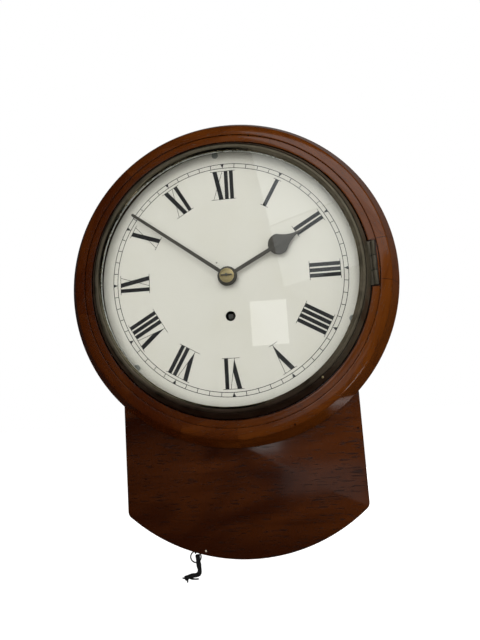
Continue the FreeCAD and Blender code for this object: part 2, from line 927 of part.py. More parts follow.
def surround_fixings():
    """Cheeks glued behind the surround, and the pegs through the case sides into them."""
    cheeks, pegs = [], []
    for side in (1, -1):
        cheek_x = sorted((side * inner_half, side * (inner_half - S.cheek_width)), key=float)
        cheek = box(cheek_x, (S.case_depth - S.cheek_depth, S.case_depth), (-S.cheek_half, S.cheek_half))
        length = S.cheek_width + S.side_board
        start = inner_half - S.cheek_width if side > 0 else -half - S.peg_head
        holes = []
        for z in (S.peg_height, -S.peg_height):
            holes.append(rod(S.peg_radius + S.running_fit, S.cheek_width, cheek_x[0], peg_f, z, RIGHTWARD))
            pegs.append(rod(S.peg_radius, length + S.peg_head, start, peg_f, z, RIGHTWARD))
        cheeks.append(cut(cheek, *holes))
    finish("surround_cheeks", group(*cheeks))
    finish("surround_pegs", group(*pegs))


# Bezel

bezel_back = dial_face + S.bezel_stand
bezel_edge = bezel_back + S.bezel_height
bezel_inside = bezel_radius - S.bezel_wall
lip_radius = bezel_radius - S.bezel_band
glass_edge = bezel_edge - S.glass_setback
sight_share = sight_radius / glass_radius
glass_seat = glass_edge + S.glass_rise * (1 - sight_share * sight_share) + S.face_gap
glass_wall = glass_radius + S.face_gap
glass_sphere = (glass_radius * glass_radius + S.glass_rise * S.glass_rise) / (S.glass_rise * 2)
glass_back_sphere = glass_sphere - S.glass_thick
glass_back = glass_edge - S.glass_thick
leaf_f = bezel_axis[1] - S.bezel_knuckle


def bezel():
    """The hinged brass ring, with its glass, the ring that retains the glass, and the pull stud."""
    skirt_radius = bezel_radius + S.bezel_skirt
    profile = [
        (skirt_radius, bezel_back),
        (skirt_radius, bezel_back + S.skirt_rise),
        (lip_radius + S.groove_width / 2, bezel_edge),
        (lip_radius, bezel_edge - S.groove_width / 2),
        (lip_radius - S.groove_width / 2, bezel_edge),
        (sight_radius + S.bezel_bead, bezel_edge),
        (sight_radius, bezel_edge - S.bezel_bead, S.bezel_bead),
        (sight_radius, glass_seat),
        (glass_wall, glass_seat),
        (glass_wall, glass_back - S.face_gap),
        (bezel_inside, glass_back - S.face_gap),
        (bezel_inside, bezel_back),
    ]
    ring = turned(profile)
    slot = box((bezel_axis[0] - bezel_leaf_moving, bezel_axis[0]),
               (leaf_f, leaf_f + S.bezel_leaf_thick),
               (-S.bezel_hinge_length / 2, S.bezel_hinge_length / 2))
    stud_circle = bezel_radius - S.bezel_band / 2
    stud = rod(S.stud_radius, S.stud_height + S.bezel_height / 2, stud_circle * sine(S.stud_angle),
               bezel_edge - S.bezel_height / 2, stud_circle * cosine(S.stud_angle))
    finish("bezel_ring", cut(fuse(ring, stud), slot))
    glass = [
        (0, glass_edge + S.glass_rise),
        (glass_radius, glass_edge, -glass_sphere),
        (glass_radius, glass_back),
        (0, glass_back + S.glass_rise, glass_sphere),
    ]
    finish("bezel_glass", turned(glass))
    retainer = [
        (sight_radius, glass_back - S.face_gap),
        (bezel_inside - S.running_fit, glass_back - S.face_gap),
        (bezel_inside - S.running_fit, glass_back - S.face_gap - S.retainer_thick),
        (sight_radius, glass_back - S.face_gap - S.retainer_thick),
    ]
    finish("glass_retainer", turned(retainer))


def bezel_hinge():
    """The two leaves at three o'clock."""
    length = S.bezel_hinge_length
    fixed_y = (S.bezel_knuckle + S.face_gap - S.bezel_leaf_thick, S.bezel_knuckle + S.face_gap)
    moving_y = (S.bezel_knuckle - S.bezel_leaf_thick, S.bezel_knuckle)
    for name, plate_x, plate_y, moving in (
        ("bezel_hinge_fixed", (0, S.bezel_leaf_fixed), fixed_y, False),
        ("bezel_hinge_moving", (-bezel_leaf_moving, 0), moving_y, True),
    ):
        leaf = hinge_leaf(plate_x, plate_y, length, S.bezel_knuckle, moving, bezel_axis, UNTURNED)
        finish(name, group(leaf))


# Dial

winding_z = -S.winding_drop


def dial():
    """The painted plate and the screws that hold it in the surround's rebate."""
    holes = [(0, 0, S.dial_hole), (0, winding_z, S.winding_hole)]
    holes += [(x, z, S.dial_screw_shank + S.running_fit) for x, z in dial_screw_places]
    sheet_circle = [(0, 0, S.dial_radius)]
    finish("dial_plate", flat([], sheet_circle + holes, dial_back, S.dial_thick))
    screws = []
    for x, z in dial_screw_places:
        tip = dial_back - S.dial_screw_length + S.face_gap
        shank = rod(S.dial_screw_shank, dial_face - tip, x, tip, z)
        head = rod(S.dial_screw_head, S.dial_screw_head_thick, x, dial_face, z)
        screws.append(fuse(shank, head))
    finish("dial_screws", group(*screws))


# Movement frame: two plates on four pillars, hung from the dial by four feet

corner_posts = [
    (x, z) for x in (S.pillar_x, -S.pillar_x) for z in (S.pillar_top, -S.pillar_foot)
]
dial_posts = [
    (x, z) for x in (S.pillar_x, -S.pillar_x) for z in (S.foot_height_z, -S.foot_height_z)
]
third_at = (S.third_distance * sine(S.third_angle), S.third_distance * cosine(S.third_angle))
escape_at = (as_size(0), S.escape_height)
pallet_z = S.escape_height + S.escape_radius * root(as_size(2))
barrel_at = (
    S.barrel_distance * sine(S.barrel_angle),
    winding_z + S.barrel_distance * cosine(S.barrel_angle),
)
pivot_hole = S.pivot_radius + S.running_fit


def plate_outline():
    """A movement plate with rounded corners."""
    side, low, high, bend = S.plate_width / 2, -S.plate_foot, S.plate_top, S.plate_corner
    return [
        (side - bend, low),
        (side, low + bend, bend),
        (side, high - bend),
        (side - bend, high, bend),
        (bend - side, high),
        (-side, high - bend, bend),
        (-side, low + bend),
        (bend - side, low, bend),
    ]


def movement_plates():
    """Front and back plates with their pivot holes."""
    spigots = [(x, z, S.spigot_radius + S.running_fit) for x, z in corner_posts]
    feet = [(x, z, S.spigot_radius + S.running_fit) for x, z in dial_posts]
    train = [(*third_at, pivot_hole), (*escape_at, pivot_hole)]
    front = spigots + feet + train + [
        (0, pallet_z, pivot_hole),
        (0, 0, S.arbor_radius + S.running_fit),
        (0, winding_z, S.winding_neck + S.running_fit),
        (*barrel_at, S.barrel_arbor + S.running_fit),
        (-S.stud_distance, 0, S.stud_pin + S.running_fit),
    ]
    finish("front_plate", flat([plate_outline()], front, plate_inside, S.plate_thick))
    screw_x = S.cock_span / 2 - S.cock_arm / 2
    back = spigots + train + [
        (0, 0, pivot_hole),
        (0, winding_z, S.winding_neck + S.running_fit),
        (*barrel_at, S.barrel_arbor + S.running_fit),
        (0, pallet_z, S.pallet_hub - S.cock_screw),
        (screw_x, pallet_z, S.cock_screw + S.running_fit),
        (-screw_x, pallet_z, S.cock_screw + S.running_fit),
    ]
    finish("back_plate", flat([plate_outline()], back, back_outside, S.plate_thick))


def pinned_post(x, z, radius, shoulders, spigot_end, pin_f):
    """A turned post whose spigot goes through a plate and takes a cross pin."""
    low, high = shoulders
    ahead = float(spigot_end) > float(high)
    spigot_start = high if ahead else spigot_end
    spigot_length = spigot_end - high if ahead else low - spigot_end
    post = fuse(rod(radius, high - low, x, low, z), rod(S.spigot_radius, spigot_length, x, spigot_start, z))
    pin_hole = rod(S.lock_pin + S.running_fit, S.spigot_radius * 2, x - S.spigot_radius, pin_f, z, RIGHTWARD)
    return cut(post, pin_hole)


def posts():
    """Pillars between the plates, dial feet, and the pins through their spigots."""
    pins, pillars, feet = [], [], []
    pillar_pin = plate_face + S.lock_pin + S.face_gap
    foot_pin = plate_inside - S.lock_pin - S.face_gap
    for x, z in corner_posts:
        post = pinned_post(x, z, S.pillar_radius, (back_inside, plate_inside),
                           plate_inside + S.spigot_length, pillar_pin)
        rivet = rod(S.spigot_radius, S.plate_thick, x, back_outside, z)
        pillars.append(fuse(post, rivet))
        pins.append((x, pillar_pin, z))
    for x, z in dial_posts:
        feet.append(pinned_post(x, z, S.foot_radius, (plate_face, dial_back),
                                plate_face - S.spigot_length, foot_pin))
        pins.append((x, foot_pin, z))
    finish("pillars", group(*pillars))
    finish("dial_feet", group(*feet))
    half_pin = S.lock_pin_length / 2
    finish("movement_pins", group(*[
        rod(S.lock_pin, S.lock_pin_length, x - half_pin, f, z, RIGHTWARD) for x, f, z in pins
    ]))


# Wheels: straight-flanked teeth, rims and crossed arms

# depth below and height above the pitch circle in modules, half widths at root and tip in pitches
WHEEL_TOOTH = (1.4, 0.75, 0.22, 0.09)
PINION_LEAF = (1.15, 0.4, 0.15, 0.07)
# places along an escape tooth in pitches: edge, land, and the ends of the hollow behind it
ESCAPE_TOOTH = (0.0, 0.08, 0.62, 0.9)


def polar(radius, turn, at=(0.0, 0.0)):
    """A point at an angle clockwise from the top, seen from the front."""
    angle = math.radians(turn)
    return Vector(at[0] + radius * math.sin(angle), 0, at[1] + radius * math.cos(angle))


def ring_of_teeth(teeth, pitch_radius, form, turn, at):
    """A closed outline of teeth of one form."""
    depth, height, root_share, tip_share = form
    module = 2 * pitch_radius / teeth
    root_radius, tip_radius = pitch_radius - depth * module, pitch_radius + height * module
    pitch = 360.0 / teeth
    points = []
    for number in range(teeth):
        middle = turn + number * pitch
        for radius, share in ((root_radius, -root_share), (tip_radius, -tip_share),
                              (tip_radius, tip_share), (root_radius, root_share)):
            points.append(polar(radius, middle + share * pitch, at))
    return Part.makePolygon(points + points[:1])


def windows(arms, inner, outer, width, turn, at):
    """The openings between a wheel's arms."""
    openings = []
    for number in range(arms):
        start = turn + number * 360.0 / arms
        end = start + 360.0 / arms
        lean = {radius: math.degrees(math.asin(width / 2 / radius)) for radius in (inner, outer)}
        middle = (start + end) / 2
        corners = [polar(inner, start + lean[inner], at), polar(inner, end - lean[inner], at),
                   polar(outer, end - lean[outer], at), polar(outer, start + lean[outer], at)]
        openings.append(Part.Wire([
            Part.Arc(corners[0], polar(inner, middle, at), corners[1]).toShape(),
            Part.LineSegment(corners[1], corners[2]).toShape(),
            Part.Arc(corners[2], polar(outer, middle, at), corners[3]).toShape(),
            Part.LineSegment(corners[3], corners[0]).toShape(),
        ]))
    return openings


def slab(wires, back, thick):
    """Outlines and the holes in them, thickened forward."""
    face = Part.makeFace(list(wires), "Part::FaceMakerBullseye")
    face.translate(Vector(0, -float(back), 0))
    return face.extrude(Vector(0, -float(thick), 0))


def wheel(teeth, pitch_radius, turn, at, back, thick, crossing=None, bore=None):
    """A brass wheel with slim teeth. A crossing is the width of its four arms and the radius of its hub."""
    wires = [ring_of_teeth(teeth, pitch_radius, WHEEL_TOOTH, turn, at)]
    if crossing:
        rim = pitch_radius * (1 - 2 * WHEEL_TOOTH[0] / teeth) - float(S.wheel_rim)
        arm, hub = [float(size) for size in crossing]
        wires += windows(4, hub, rim, arm, turn + 45.0, at)
    if bore:
        centre = Vector(at[0], 0, at[1])
        wires.append(Part.Wire(Part.makeCircle(bore, centre, Vector(0, 1, 0))))
    return slab(wires, back, thick)


def pinion(leaves, pitch_radius, turn, at, back, thick, bore=None):
    """A pinion with slim leaves."""
    wires = [ring_of_teeth(leaves, pitch_radius, PINION_LEAF, turn, at)]
    if bore:
        centre = Vector(at[0], 0, at[1])
        wires.append(Part.Wire(Part.makeCircle(bore, centre, Vector(0, 1, 0))))
    return slab(wires, back, thick)


def bar(radius, start, end, at):
    """A round bar that runs forward between two depths."""
    base = Vector(at[0], -float(start), at[1])
    return Part.makeCylinder(float(radius), float(end) - float(start), base, Vector(0, -1, 0))


def mesh_turn(driver_turn, driver_teeth, towards, teeth):
    """The turn of a wheel that meshes with a driver, which lies the other way from towards."""
    share = (driver_turn - towards) * driver_teeth / 360.0
    return towards + 180.0 + (0.5 - share) * 360.0 / teeth


def spot_of(pair):
    """A pair of sizes as plain numbers."""
    return float(pair[0]), float(pair[1])


centre_spot = (0.0, 0.0)
fusee_spot = (0.0, float(winding_z))
third_spot, escape_spot, barrel_spot = spot_of(third_at), spot_of(escape_at), spot_of(barrel_at)
great_count, centre_count, third_count, leaf_count, escape_count = [
    int(float(count))
    for count in (S.great_teeth, S.centre_teeth, S.third_teeth, S.pinion_leaves, S.escape_teeth)
]
escape_distance = math.dist(third_spot, escape_spot)
escape_towards = math.degrees(math.atan2(escape_spot[0] - third_spot[0], escape_spot[1] - third_spot[1]))
great_share = great_count / (great_count + leaf_count)
centre_share = centre_count / (centre_count + leaf_count)
third_share = third_count / (third_count + leaf_count)
centre_pinion_turn = mesh_turn(0.0, great_count, 0.0, leaf_count)
third_pinion_turn = mesh_turn(0.0, centre_count, float(S.third_angle), leaf_count)
escape_pinion_turn = mesh_turn(0.0, third_count, escape_towards, leaf_count)
shoulder_low = float(back_inside + S.end_play)
shoulder_high = float(plate_inside - S.end_play)
pivot_low = float(back_outside + S.end_play)
pivot_high = float(plate_face - S.end_play)
great_back = back_inside + S.great_setback
escape_back = back_inside + S.escape_setback
third_back = back_inside + S.third_setback
centre_back = plate_inside - S.centre_setback
collet_front = dial_face + S.hour_hand_rise + S.hand_spacing + S.hand_thick + S.face_gap + S.collet_height
arbor_end = collet_front + S.collet_pin * 4


def pivoted_arbor(at, radius):
    """An arbor between the plates with a pivot at each end."""
    return [bar(radius, shoulder_low, shoulder_high, at), bar(S.pivot_radius, pivot_low, pivot_high, at)]


def solid_of(*solids):
    """Several solids made one."""
    return solids[0].multiFuse(list(solids[1:])).removeSplitter()


def great_wheel():
    """The wheel that the fusee drives."""
    radius = float(S.winding_drop) * great_share
    bore = float(S.winding_arbor + S.running_fit)
    finish("great_wheel", shaped(wheel(
        great_count, radius, 0.0, fusee_spot, great_back, S.great_thick, (S.great_arm, S.great_hub), bore)))


def centre_wheel():
    """Centre wheel, pinion and the arbor that carries the hands' friction drive."""
    brass = wheel(centre_count, float(S.third_distance) * centre_share, 0.0, centre_spot, centre_back,
                  S.wheel_thick, (S.centre_arm, S.centre_hub))
    leaves = pinion(leaf_count, float(S.winding_drop) * (1 - great_share), centre_pinion_turn, centre_spot,
                    shoulder_low, float(S.great_setback + S.great_thick * 2))
    long_arbor = bar(S.arbor_radius, shoulder_low, arbor_end, centre_spot)
    rear_pivot = bar(S.pivot_radius, pivot_low, shoulder_low, centre_spot)
    reach = float(S.arbor_radius) * 4
    pin_hole = Part.makeCylinder(
        float(S.collet_pin + S.running_fit), reach,
        Vector(-reach / 2, -float(collet_front + S.collet_pin + S.face_gap), 0), Vector(1, 0, 0))
    finish("centre_wheel", shaped(solid_of(brass, leaves, long_arbor, rear_pivot).cut(pin_hole)))


def third_wheel():
    """Third wheel and pinion."""
    brass = wheel(third_count, escape_distance * third_share, 0.0, third_spot, third_back, S.wheel_thick,
                  (S.third_arm, S.third_hub))
    length = float(S.centre_setback)
    leaves = pinion(leaf_count, float(S.third_distance) * (1 - centre_share), third_pinion_turn, third_spot,
                    float(centre_back) - length / 3, length)
    finish("third_wheel", shaped(solid_of(brass, leaves, *pivoted_arbor(third_spot, S.arbor_radius))))


def escape_wheel():
    """The recoil escape wheel with pointed, undercut teeth."""
    tip, pitch = float(S.escape_radius), 360.0 / escape_count
    foot = tip - float(S.escape_depth)
    points = []
    for number in range(escape_count):
        for radius, share in zip((tip, tip, foot, foot), ESCAPE_TOOTH):
            points.append(polar(radius, (number + share) * pitch, escape_spot))
    wires = [Part.makePolygon(points + points[:1])]
    wires += windows(4, float(S.escape_hub), foot - float(S.escape_rim), float(S.escape_arm), 45.0, escape_spot)
    brass = slab(wires, escape_back, S.wheel_thick)
    length = float(S.third_setback - S.escape_setback)
    leaves = pinion(leaf_count, escape_distance * (1 - third_share), escape_pinion_turn, escape_spot,
                    float(third_back) - length / 3, length)
    finish("escape_wheel", shaped(solid_of(brass, leaves, *pivoted_arbor(escape_spot, S.escape_arbor))))


# Escapement, crutch and pendulum

pallet_spot = (0.0, float(pallet_z))
cock_back = back_outside - S.cock_reach
crutch_f = back_outside - S.cock_reach / 2
pendulum_plane = cock_back - S.pendulum_stand
crutch_foot = pallet_z - S.crutch_reach
rod_half = S.rod_width / 2
rod_back = pendulum_plane - S.rod_thick / 2
rod_front = pendulum_plane + S.rod_thick / 2
bob_z = pallet_z - S.pendulum_length
bob_foot = bob_z - S.bob_radius
rod_head = pallet_z - S.rod_top
strip_half = S.strip_thick / 2
strip_back = pendulum_plane - S.strip_width / 2
strip_front = pendulum_plane + S.strip_width / 2
strip_head = rod_head - S.rod_top / 2 + S.strip_length


def pallets():
    """The anchor and its arbor, held clear of the wheel over the whole swing."""
    tip = float(S.escape_radius + S.pallet_clear)
    crown = float(S.pallet_hub)
    toe, heel = tip + float(S.pallet_toe), tip + float(S.pallet_heel)
    right = [polar(toe, 50, escape_spot), polar(tip, 50, escape_spot), polar(tip, 43.5, escape_spot),
             polar(heel, 40, escape_spot)]
    left = [Vector(-point.x, 0, point.z) for point in reversed(right)]
    saddle = Vector(0, 0, pallet_spot[1] - crown)
    top = Vector(0, 0, pallet_spot[1] + crown)
    edges = [Part.LineSegment(a, b).toShape() for a, b in zip(right, right[1:])]
    edges.append(Part.Arc(right[-1], saddle, left[0]).toShape())
    edges += [Part.LineSegment(a, b).toShape() for a, b in zip(left, left[1:])]
    edges.append(Part.Arc(left[-1], top, right[0]).toShape())
    middle = float(escape_back + S.wheel_thick / 2)
    anchor = slab([Part.Wire(edges)], middle - float(S.pallet_thick) / 2, S.pallet_thick)
    arbor = bar(S.arbor_radius, float(cock_back + S.cock_thick + S.end_play), shoulder_high, pallet_spot)
    pivots = bar(S.pivot_radius, float(cock_back + S.end_play), pivot_high, pallet_spot)
    finish("pallets", shaped(solid_of(anchor, arbor, pivots)))


def crutch():
    """The arm that carries the pallets' swing to the pendulum."""
    wide, thick = S.crutch_width / 2, S.crutch_width / 2
    arm = box((-wide, wide), (crutch_f - thick / 2, crutch_f + thick / 2), (crutch_foot - wide, pallet_z))
    collet = rod(S.arbor_radius * 2, S.crutch_width, 0, crutch_f - wide, pallet_z)
    pin = rod(S.crutch_pin, crutch_f + thick / 2 - rod_back + S.rod_thick / 2, 0, rod_back - S.rod_thick / 2,
              crutch_foot)
    bore = rod(S.arbor_radius + S.running_fit, S.crutch_width, 0, crutch_f - wide, pallet_z)
    finish("crutch", cut(fuse(arm, collet, pin), bore))


def back_cock():
    """The bracket behind the movement: rear pivot of the pallets and clamp of the suspension."""
    span, low, high = S.cock_span / 2, pallet_z - S.cock_fall, pallet_z + S.cock_rise
    bridge = box((-span, span), (cock_back, cock_back + S.cock_thick), (low, high))
    arms = [
        box(x, (cock_back, back_outside), (low, high))
        for x in ((-span, S.cock_arm - span), (span - S.cock_arm, span))
    ]
    block_half = S.cock_block / 2
    block_low = pallet_z + S.cock_fall / 2
    block = box((-block_half, block_half), (strip_back - S.cock_thick, cock_back), (block_low, high))
    slot = box((-strip_half - S.strip_play, strip_half + S.strip_play),
               (strip_back - S.face_gap, strip_front + S.face_gap), (block_low, high))
    pivot = rod(pivot_hole, S.cock_thick, 0, cock_back, pallet_z)
    screws = [
        rod(S.cock_screw + S.running_fit, S.cock_reach, x, cock_back, pallet_z)
        for x in (span - S.cock_arm / 2, S.cock_arm / 2 - span)
    ]
    finish("back_cock", cut(fuse(bridge, *arms, block), slot, pivot, *screws))


def cock_screw_solids():
    """Screws that hold the cock to the back plate."""
    span = S.cock_span / 2
    length = S.cock_reach + S.plate_thick
    solids = []
    for x in (span - S.cock_arm / 2, S.cock_arm / 2 - span):
        shank = rod(S.cock_screw, length, x, cock_back, pallet_z)
        head = rod(S.cock_screw * 1.6, S.cock_screw, x, cock_back - S.cock_screw, pallet_z)
        solids.append(fuse(shank, head))
    return solids


def pendulum():
    """Suspension strip, rod, lens-shaped bob and rating nut."""
    strip = box((-strip_half, strip_half), (strip_back, strip_front), (rod_head - S.rod_top / 2, strip_head))
    finish("suspension_spring", group(strip))
    thread_top = bob_foot + S.bob_radius / 4
    rod_body = box((-rod_half, rod_half), (rod_back, rod_front), (thread_top, rod_head))
    thread = rod(S.rod_thread, thread_top - bob_foot + S.nut_height * 2, 0, pendulum_plane,
                 bob_foot - S.nut_height * 2, UNTURNED)
    slit = box((-strip_half - S.running_fit, strip_half + S.running_fit), (rod_back, rod_front),
               (rod_head - S.rod_top / 2 - S.face_gap, rod_head))
    pin_hole = rod(S.crutch_pin + S.running_fit, S.rod_thick, 0, rod_back, crutch_foot)
    finish("pendulum_rod", cut(fuse(rod_body, thread), slit, pin_hole))
    swell = (S.bob_thick - S.bob_edge) / 2
    bob_sphere = (S.bob_radius * S.bob_radius + swell * swell) / (swell * 2)
    lens = turned([
        (0, pendulum_plane + S.bob_thick / 2),
        (S.bob_radius, pendulum_plane + S.bob_edge / 2, -bob_sphere),
        (S.bob_radius, pendulum_plane - S.bob_edge / 2),
        (0, pendulum_plane - S.bob_thick / 2, -bob_sphere),
    ], 0, bob_z)
    fit = S.running_fit
    slot = box((-rod_half - fit, rod_half + fit), (rod_back - fit, rod_front + fit),
               (bob_foot - S.bob_radius, bob_z + S.bob_radius * 2))
    finish("pendulum_bob", cut(lens, slot))
    nut_top = bob_foot - S.face_gap
    nut = rod(S.nut_radius, S.nut_height, 0, pendulum_plane, nut_top - S.nut_height, UNTURNED)
    bore = rod(S.rod_thread + fit, S.nut_height, 0, pendulum_plane, nut_top - S.nut_height, UNTURNED)
    finish("rating_nut", cut(nut, bore))


# Fusee, barrel and mainspring

fusee_back = great_back + S.great_thick + S.face_gap * 2
fusee_start = fusee_back + S.fusee_flange_thick
fusee_turns = int(float(S.fusee_turns))
fusee_end = fusee_start + S.fusee_pitch * S.fusee_turns
barrel_back = back_inside + S.barrel_setback
barrel_front = barrel_back + S.barrel_length


def fusee_radius(turns):
    """Radius of the fusee's crest after some turns, on the curve that evens out the spring's pull."""
    share = turns / S.fusee_turns
    return 1 / (1 / S.fusee_large + share * (1 / S.fusee_small - 1 / S.fusee_large))


def fusee():
    """The grooved cone, and the arbor with the square that takes the key."""
    bore = S.winding_arbor + S.running_fit
    profile = [(bore, fusee_back), (S.fusee_flange, fusee_back), (S.fusee_flange, fusee_start)]
    for number in range(fusee_turns):
        start = fusee_start + S.fusee_pitch * number
        profile.append((fusee_radius(as_size(number)), start))
        profile.append((fusee_radius(as_size(number + 0.5)) - S.fusee_groove, start + S.fusee_pitch / 2))
    cap = S.fusee_small + S.fusee_groove * 2
    profile += [(fusee_radius(S.fusee_turns), fusee_end), (cap, fusee_end),
                (cap, fusee_end + S.fusee_flange_thick), (bore, fusee_end + S.fusee_flange_thick)]
    finish("fusee", turned(profile, 0, winding_z))
    shaft = rod(S.winding_arbor, shoulder_high - shoulder_low, 0, shoulder_low, winding_z)
    neck = rod(S.winding_neck, plate_face - back_outside - S.end_play, 0, back_outside + S.end_play, winding_z)
    side = S.winding_square / 2
    square = box((-side, side), (plate_face - S.plate_thick, plate_face + S.winding_reach),
                 (winding_z - side, winding_z + side))
    round_end = rod(S.winding_neck, S.plate_thick + S.winding_reach, 0, plate_face - S.plate_thick, winding_z)
    key_square = doc.addObject("Part::Common", "KeySquare")
    key_square.Base, key_square.Tool = square, round_end
    finish("winding_arbor", fuse(shaft, neck, key_square))


def barrel():
    """The spring barrel, its fixed arbor and the coiled mainspring inside."""
    x, z = barrel_at
    bore = S.barrel_arbor + S.running_fit
    inside = S.barrel_radius - S.barrel_wall
    drum = [
        (bore, barrel_back),
        (S.barrel_radius, barrel_back),
        (S.barrel_radius, barrel_front),
        (bore, barrel_front),
        (bore, barrel_front - S.barrel_wall),
        (inside, barrel_front - S.barrel_wall),
        (inside, barrel_back + S.barrel_wall),
        (bore, barrel_back + S.barrel_wall),
    ]
    finish("barrel", turned(drum, x, z))
    room = S.barrel_wall + S.end_play * 2
    hub = rod(S.barrel_hub, S.barrel_length - room * 2, x, barrel_back + room, z)
    shaft = rod(S.barrel_arbor, plate_face + S.ratchet_thick - back_outside - S.end_play, x,
                back_outside + S.end_play, z)
    finish("barrel_arbor", fuse(shaft, hub))
    start = float(S.barrel_hub + S.face_gap + S.spring_thick / 2)
    end = float(inside - S.face_gap * 2 - S.spring_thick / 2)
    strip = spiral_strip(start, end, int(float(S.spring_turns)), float(S.spring_thick), barrel_spot)
    finish("mainspring", shaped(slab([strip], barrel_back + room, S.barrel_length - room * 2)))


def spiral_strip(start, end, turns, thick, at):
    """The outline of a strip coiled from one radius to another in half circles."""
    step = (end - start) / (2 * turns)
    sides = {}
    for offset in (thick / 2, -thick / 2):
        edges = []
        for number in range(2 * turns):
            way = 1 if number % 2 == 0 else -1
            radius = start + step * (number + 0.5)
            middle = Vector(at[0] - way * step * 0.5, 0, at[1])
            reach = radius + offset
            edges.append(Part.Arc(
                middle + Vector(way * reach, 0, 0), middle + Vector(0, 0, way * reach),
                middle - Vector(way * reach, 0, 0)).toShape())
        sides[offset] = edges
    outer, inner = sides[thick / 2], sides[-thick / 2]
    ends = [
        Part.LineSegment(outer[0].valueAt(outer[0].FirstParameter),
                         inner[0].valueAt(inner[0].FirstParameter)).toShape(),
        Part.LineSegment(outer[-1].valueAt(outer[-1].LastParameter),
                         inner[-1].valueAt(inner[-1].LastParameter)).toShape(),
    ]
    return Part.Wire(Part.__sortEdges__(outer + inner + ends))


def setup_work():
    """The ratchet on the barrel arbor in front of the plate, and the click that holds it."""
    teeth = int(float(S.ratchet_teeth))
    tip, pitch = float(S.ratchet_radius), 360.0 / teeth
    foot = tip - float(S.ratchet_depth)
    points = []
    for number in range(teeth):
        points.append(polar(tip, number * pitch, barrel_spot))
        points.append(polar(foot, (number + 0.1) * pitch, barrel_spot))
    bore = Part.Wire(Part.makeCircle(float(S.barrel_arbor + S.running_fit),
                                     Vector(barrel_spot[0], 0, barrel_spot[1]), Vector(0, 1, 0)))
    ratchet = slab([Part.makePolygon(points + points[:1]), bore], plate_face, S.ratchet_thick)
    reach = tip + float(S.face_gap)
    nose = polar(reach, 0.0, barrel_spot)
    length, width = float(S.click_length), float(S.click_length) / 4
    click = Part.makePolygon([nose, nose + Vector(length, 0, width), nose + Vector(length, 0, width * 2),
                              nose + Vector(0, 0, width * 0.6), nose])
    finish("setup_work", group(shaped(ratchet), shaped(slab([click], plate_face, S.ratchet_thick))))


def fusee_line():
    """The stretch of line that runs from the barrel to the fusee, touching neither."""
    turns = S.fusee_turns / 2
    stand = float(S.line_radius + S.face_gap)
    radii = float(S.barrel_radius) + stand, float(fusee_radius(turns - 0.5)) + stand
    run = Vector(fusee_spot[0] - barrel_spot[0], 0, fusee_spot[1] - barrel_spot[1])
    distance = run.Length
    along = run / distance
    upward = Vector(-along.z, 0, along.x)
    lean = (radii[0] - radii[1]) / distance
    normal = along * lean + upward * math.sqrt(1 - lean * lean)
    level = float(fusee_start + S.fusee_pitch * turns)
    start = Vector(barrel_spot[0], -level, barrel_spot[1]) + normal * radii[0]
    end = Vector(fusee_spot[0], -level, fusee_spot[1]) + normal * radii[1]
    line = Part.makeCylinder(float(S.line_radius), (end - start).Length, start, end - start)
    finish("fusee_line", shaped(line))


# Motion work between the plate and the dial

motion_back = plate_face + S.motion_gap
motion_front = motion_back + S.motion_wheel
bridge_back = motion_front + S.face_gap
bridge_front = bridge_back + S.bridge_thick
hour_back = bridge_front + S.face_gap
hour_face = dial_face + S.hour_hand_rise
minute_face = hour_face + S.hand_spacing
cannon_count, minute_count, minute_leaf_count, hour_count = [
    int(float(count)) for count in (S.cannon_teeth, S.minute_teeth, S.minute_leaves, S.hour_teeth)
]
stud_spot = (-float(S.stud_distance), 0.0)
cannon_share = cannon_count / (cannon_count + minute_count)
hour_share = hour_count / (hour_count + minute_leaf_count)
minute_wheel_turn = mesh_turn(0.0, cannon_count, 270.0, minute_count)
hour_wheel_turn = mesh_turn(minute_wheel_turn, minute_leaf_count, 90.0, hour_count)


def cannon_wheel():
    """The cannon: a small wheel on the pipe that carries the minute hand."""
    bore = float(S.arbor_radius + S.running_fit)
    teeth = wheel(cannon_count, float(S.stud_distance) * cannon_share, 0.0, centre_spot, motion_back,
                  S.motion_wheel)
    pipe = bar(S.cannon_pipe, motion_back, minute_face, centre_spot)
    nose = bar(S.cannon_nose, minute_face, minute_face + S.hand_thick, centre_spot)
    hole = bar(bore, motion_back, minute_face + S.hand_thick, centre_spot)
    finish("cannon_wheel", shaped(solid_of(teeth, pipe, nose).cut(hole)))


def minute_wheel():
    """The minute wheel with the pinion that drives the hour wheel."""
    bore = float(S.stud_pin + S.running_fit)
    teeth = wheel(minute_count, float(S.stud_distance) * (1 - cannon_share), minute_wheel_turn, stud_spot,
                  motion_back, S.motion_wheel, (S.motion_arm, S.motion_hub), bore)
    leaves = pinion(minute_leaf_count, float(S.stud_distance) * (1 - hour_share), minute_wheel_turn, stud_spot,
                    motion_front, float(hour_back + S.motion_wheel * 1.25 - motion_front), bore)
    finish("minute_wheel", shaped(solid_of(teeth, leaves)))


def minute_stud_solid():
    """The shouldered screw that the minute wheel turns on."""
    length = hour_back + S.motion_wheel * 2 - plate_inside
    return rod(S.stud_pin, length, -S.stud_distance, plate_inside, 0)


def hour_wheel():
    """The hour wheel and the pipe that carries the hour hand."""
    bore = float(S.bridge_pipe + S.running_fit)
    teeth = wheel(hour_count, float(S.stud_distance) * hour_share, hour_wheel_turn, centre_spot, hour_back,
                  S.motion_wheel, (S.motion_arm, S.motion_hub))
    pipe = bar(S.hour_pipe, hour_back, hour_face + S.hand_thick, centre_spot)
    hole = bar(bore, hour_back, hour_face + S.hand_thick, centre_spot)
    finish("hour_wheel", shaped(solid_of(teeth, pipe).cut(hole)))


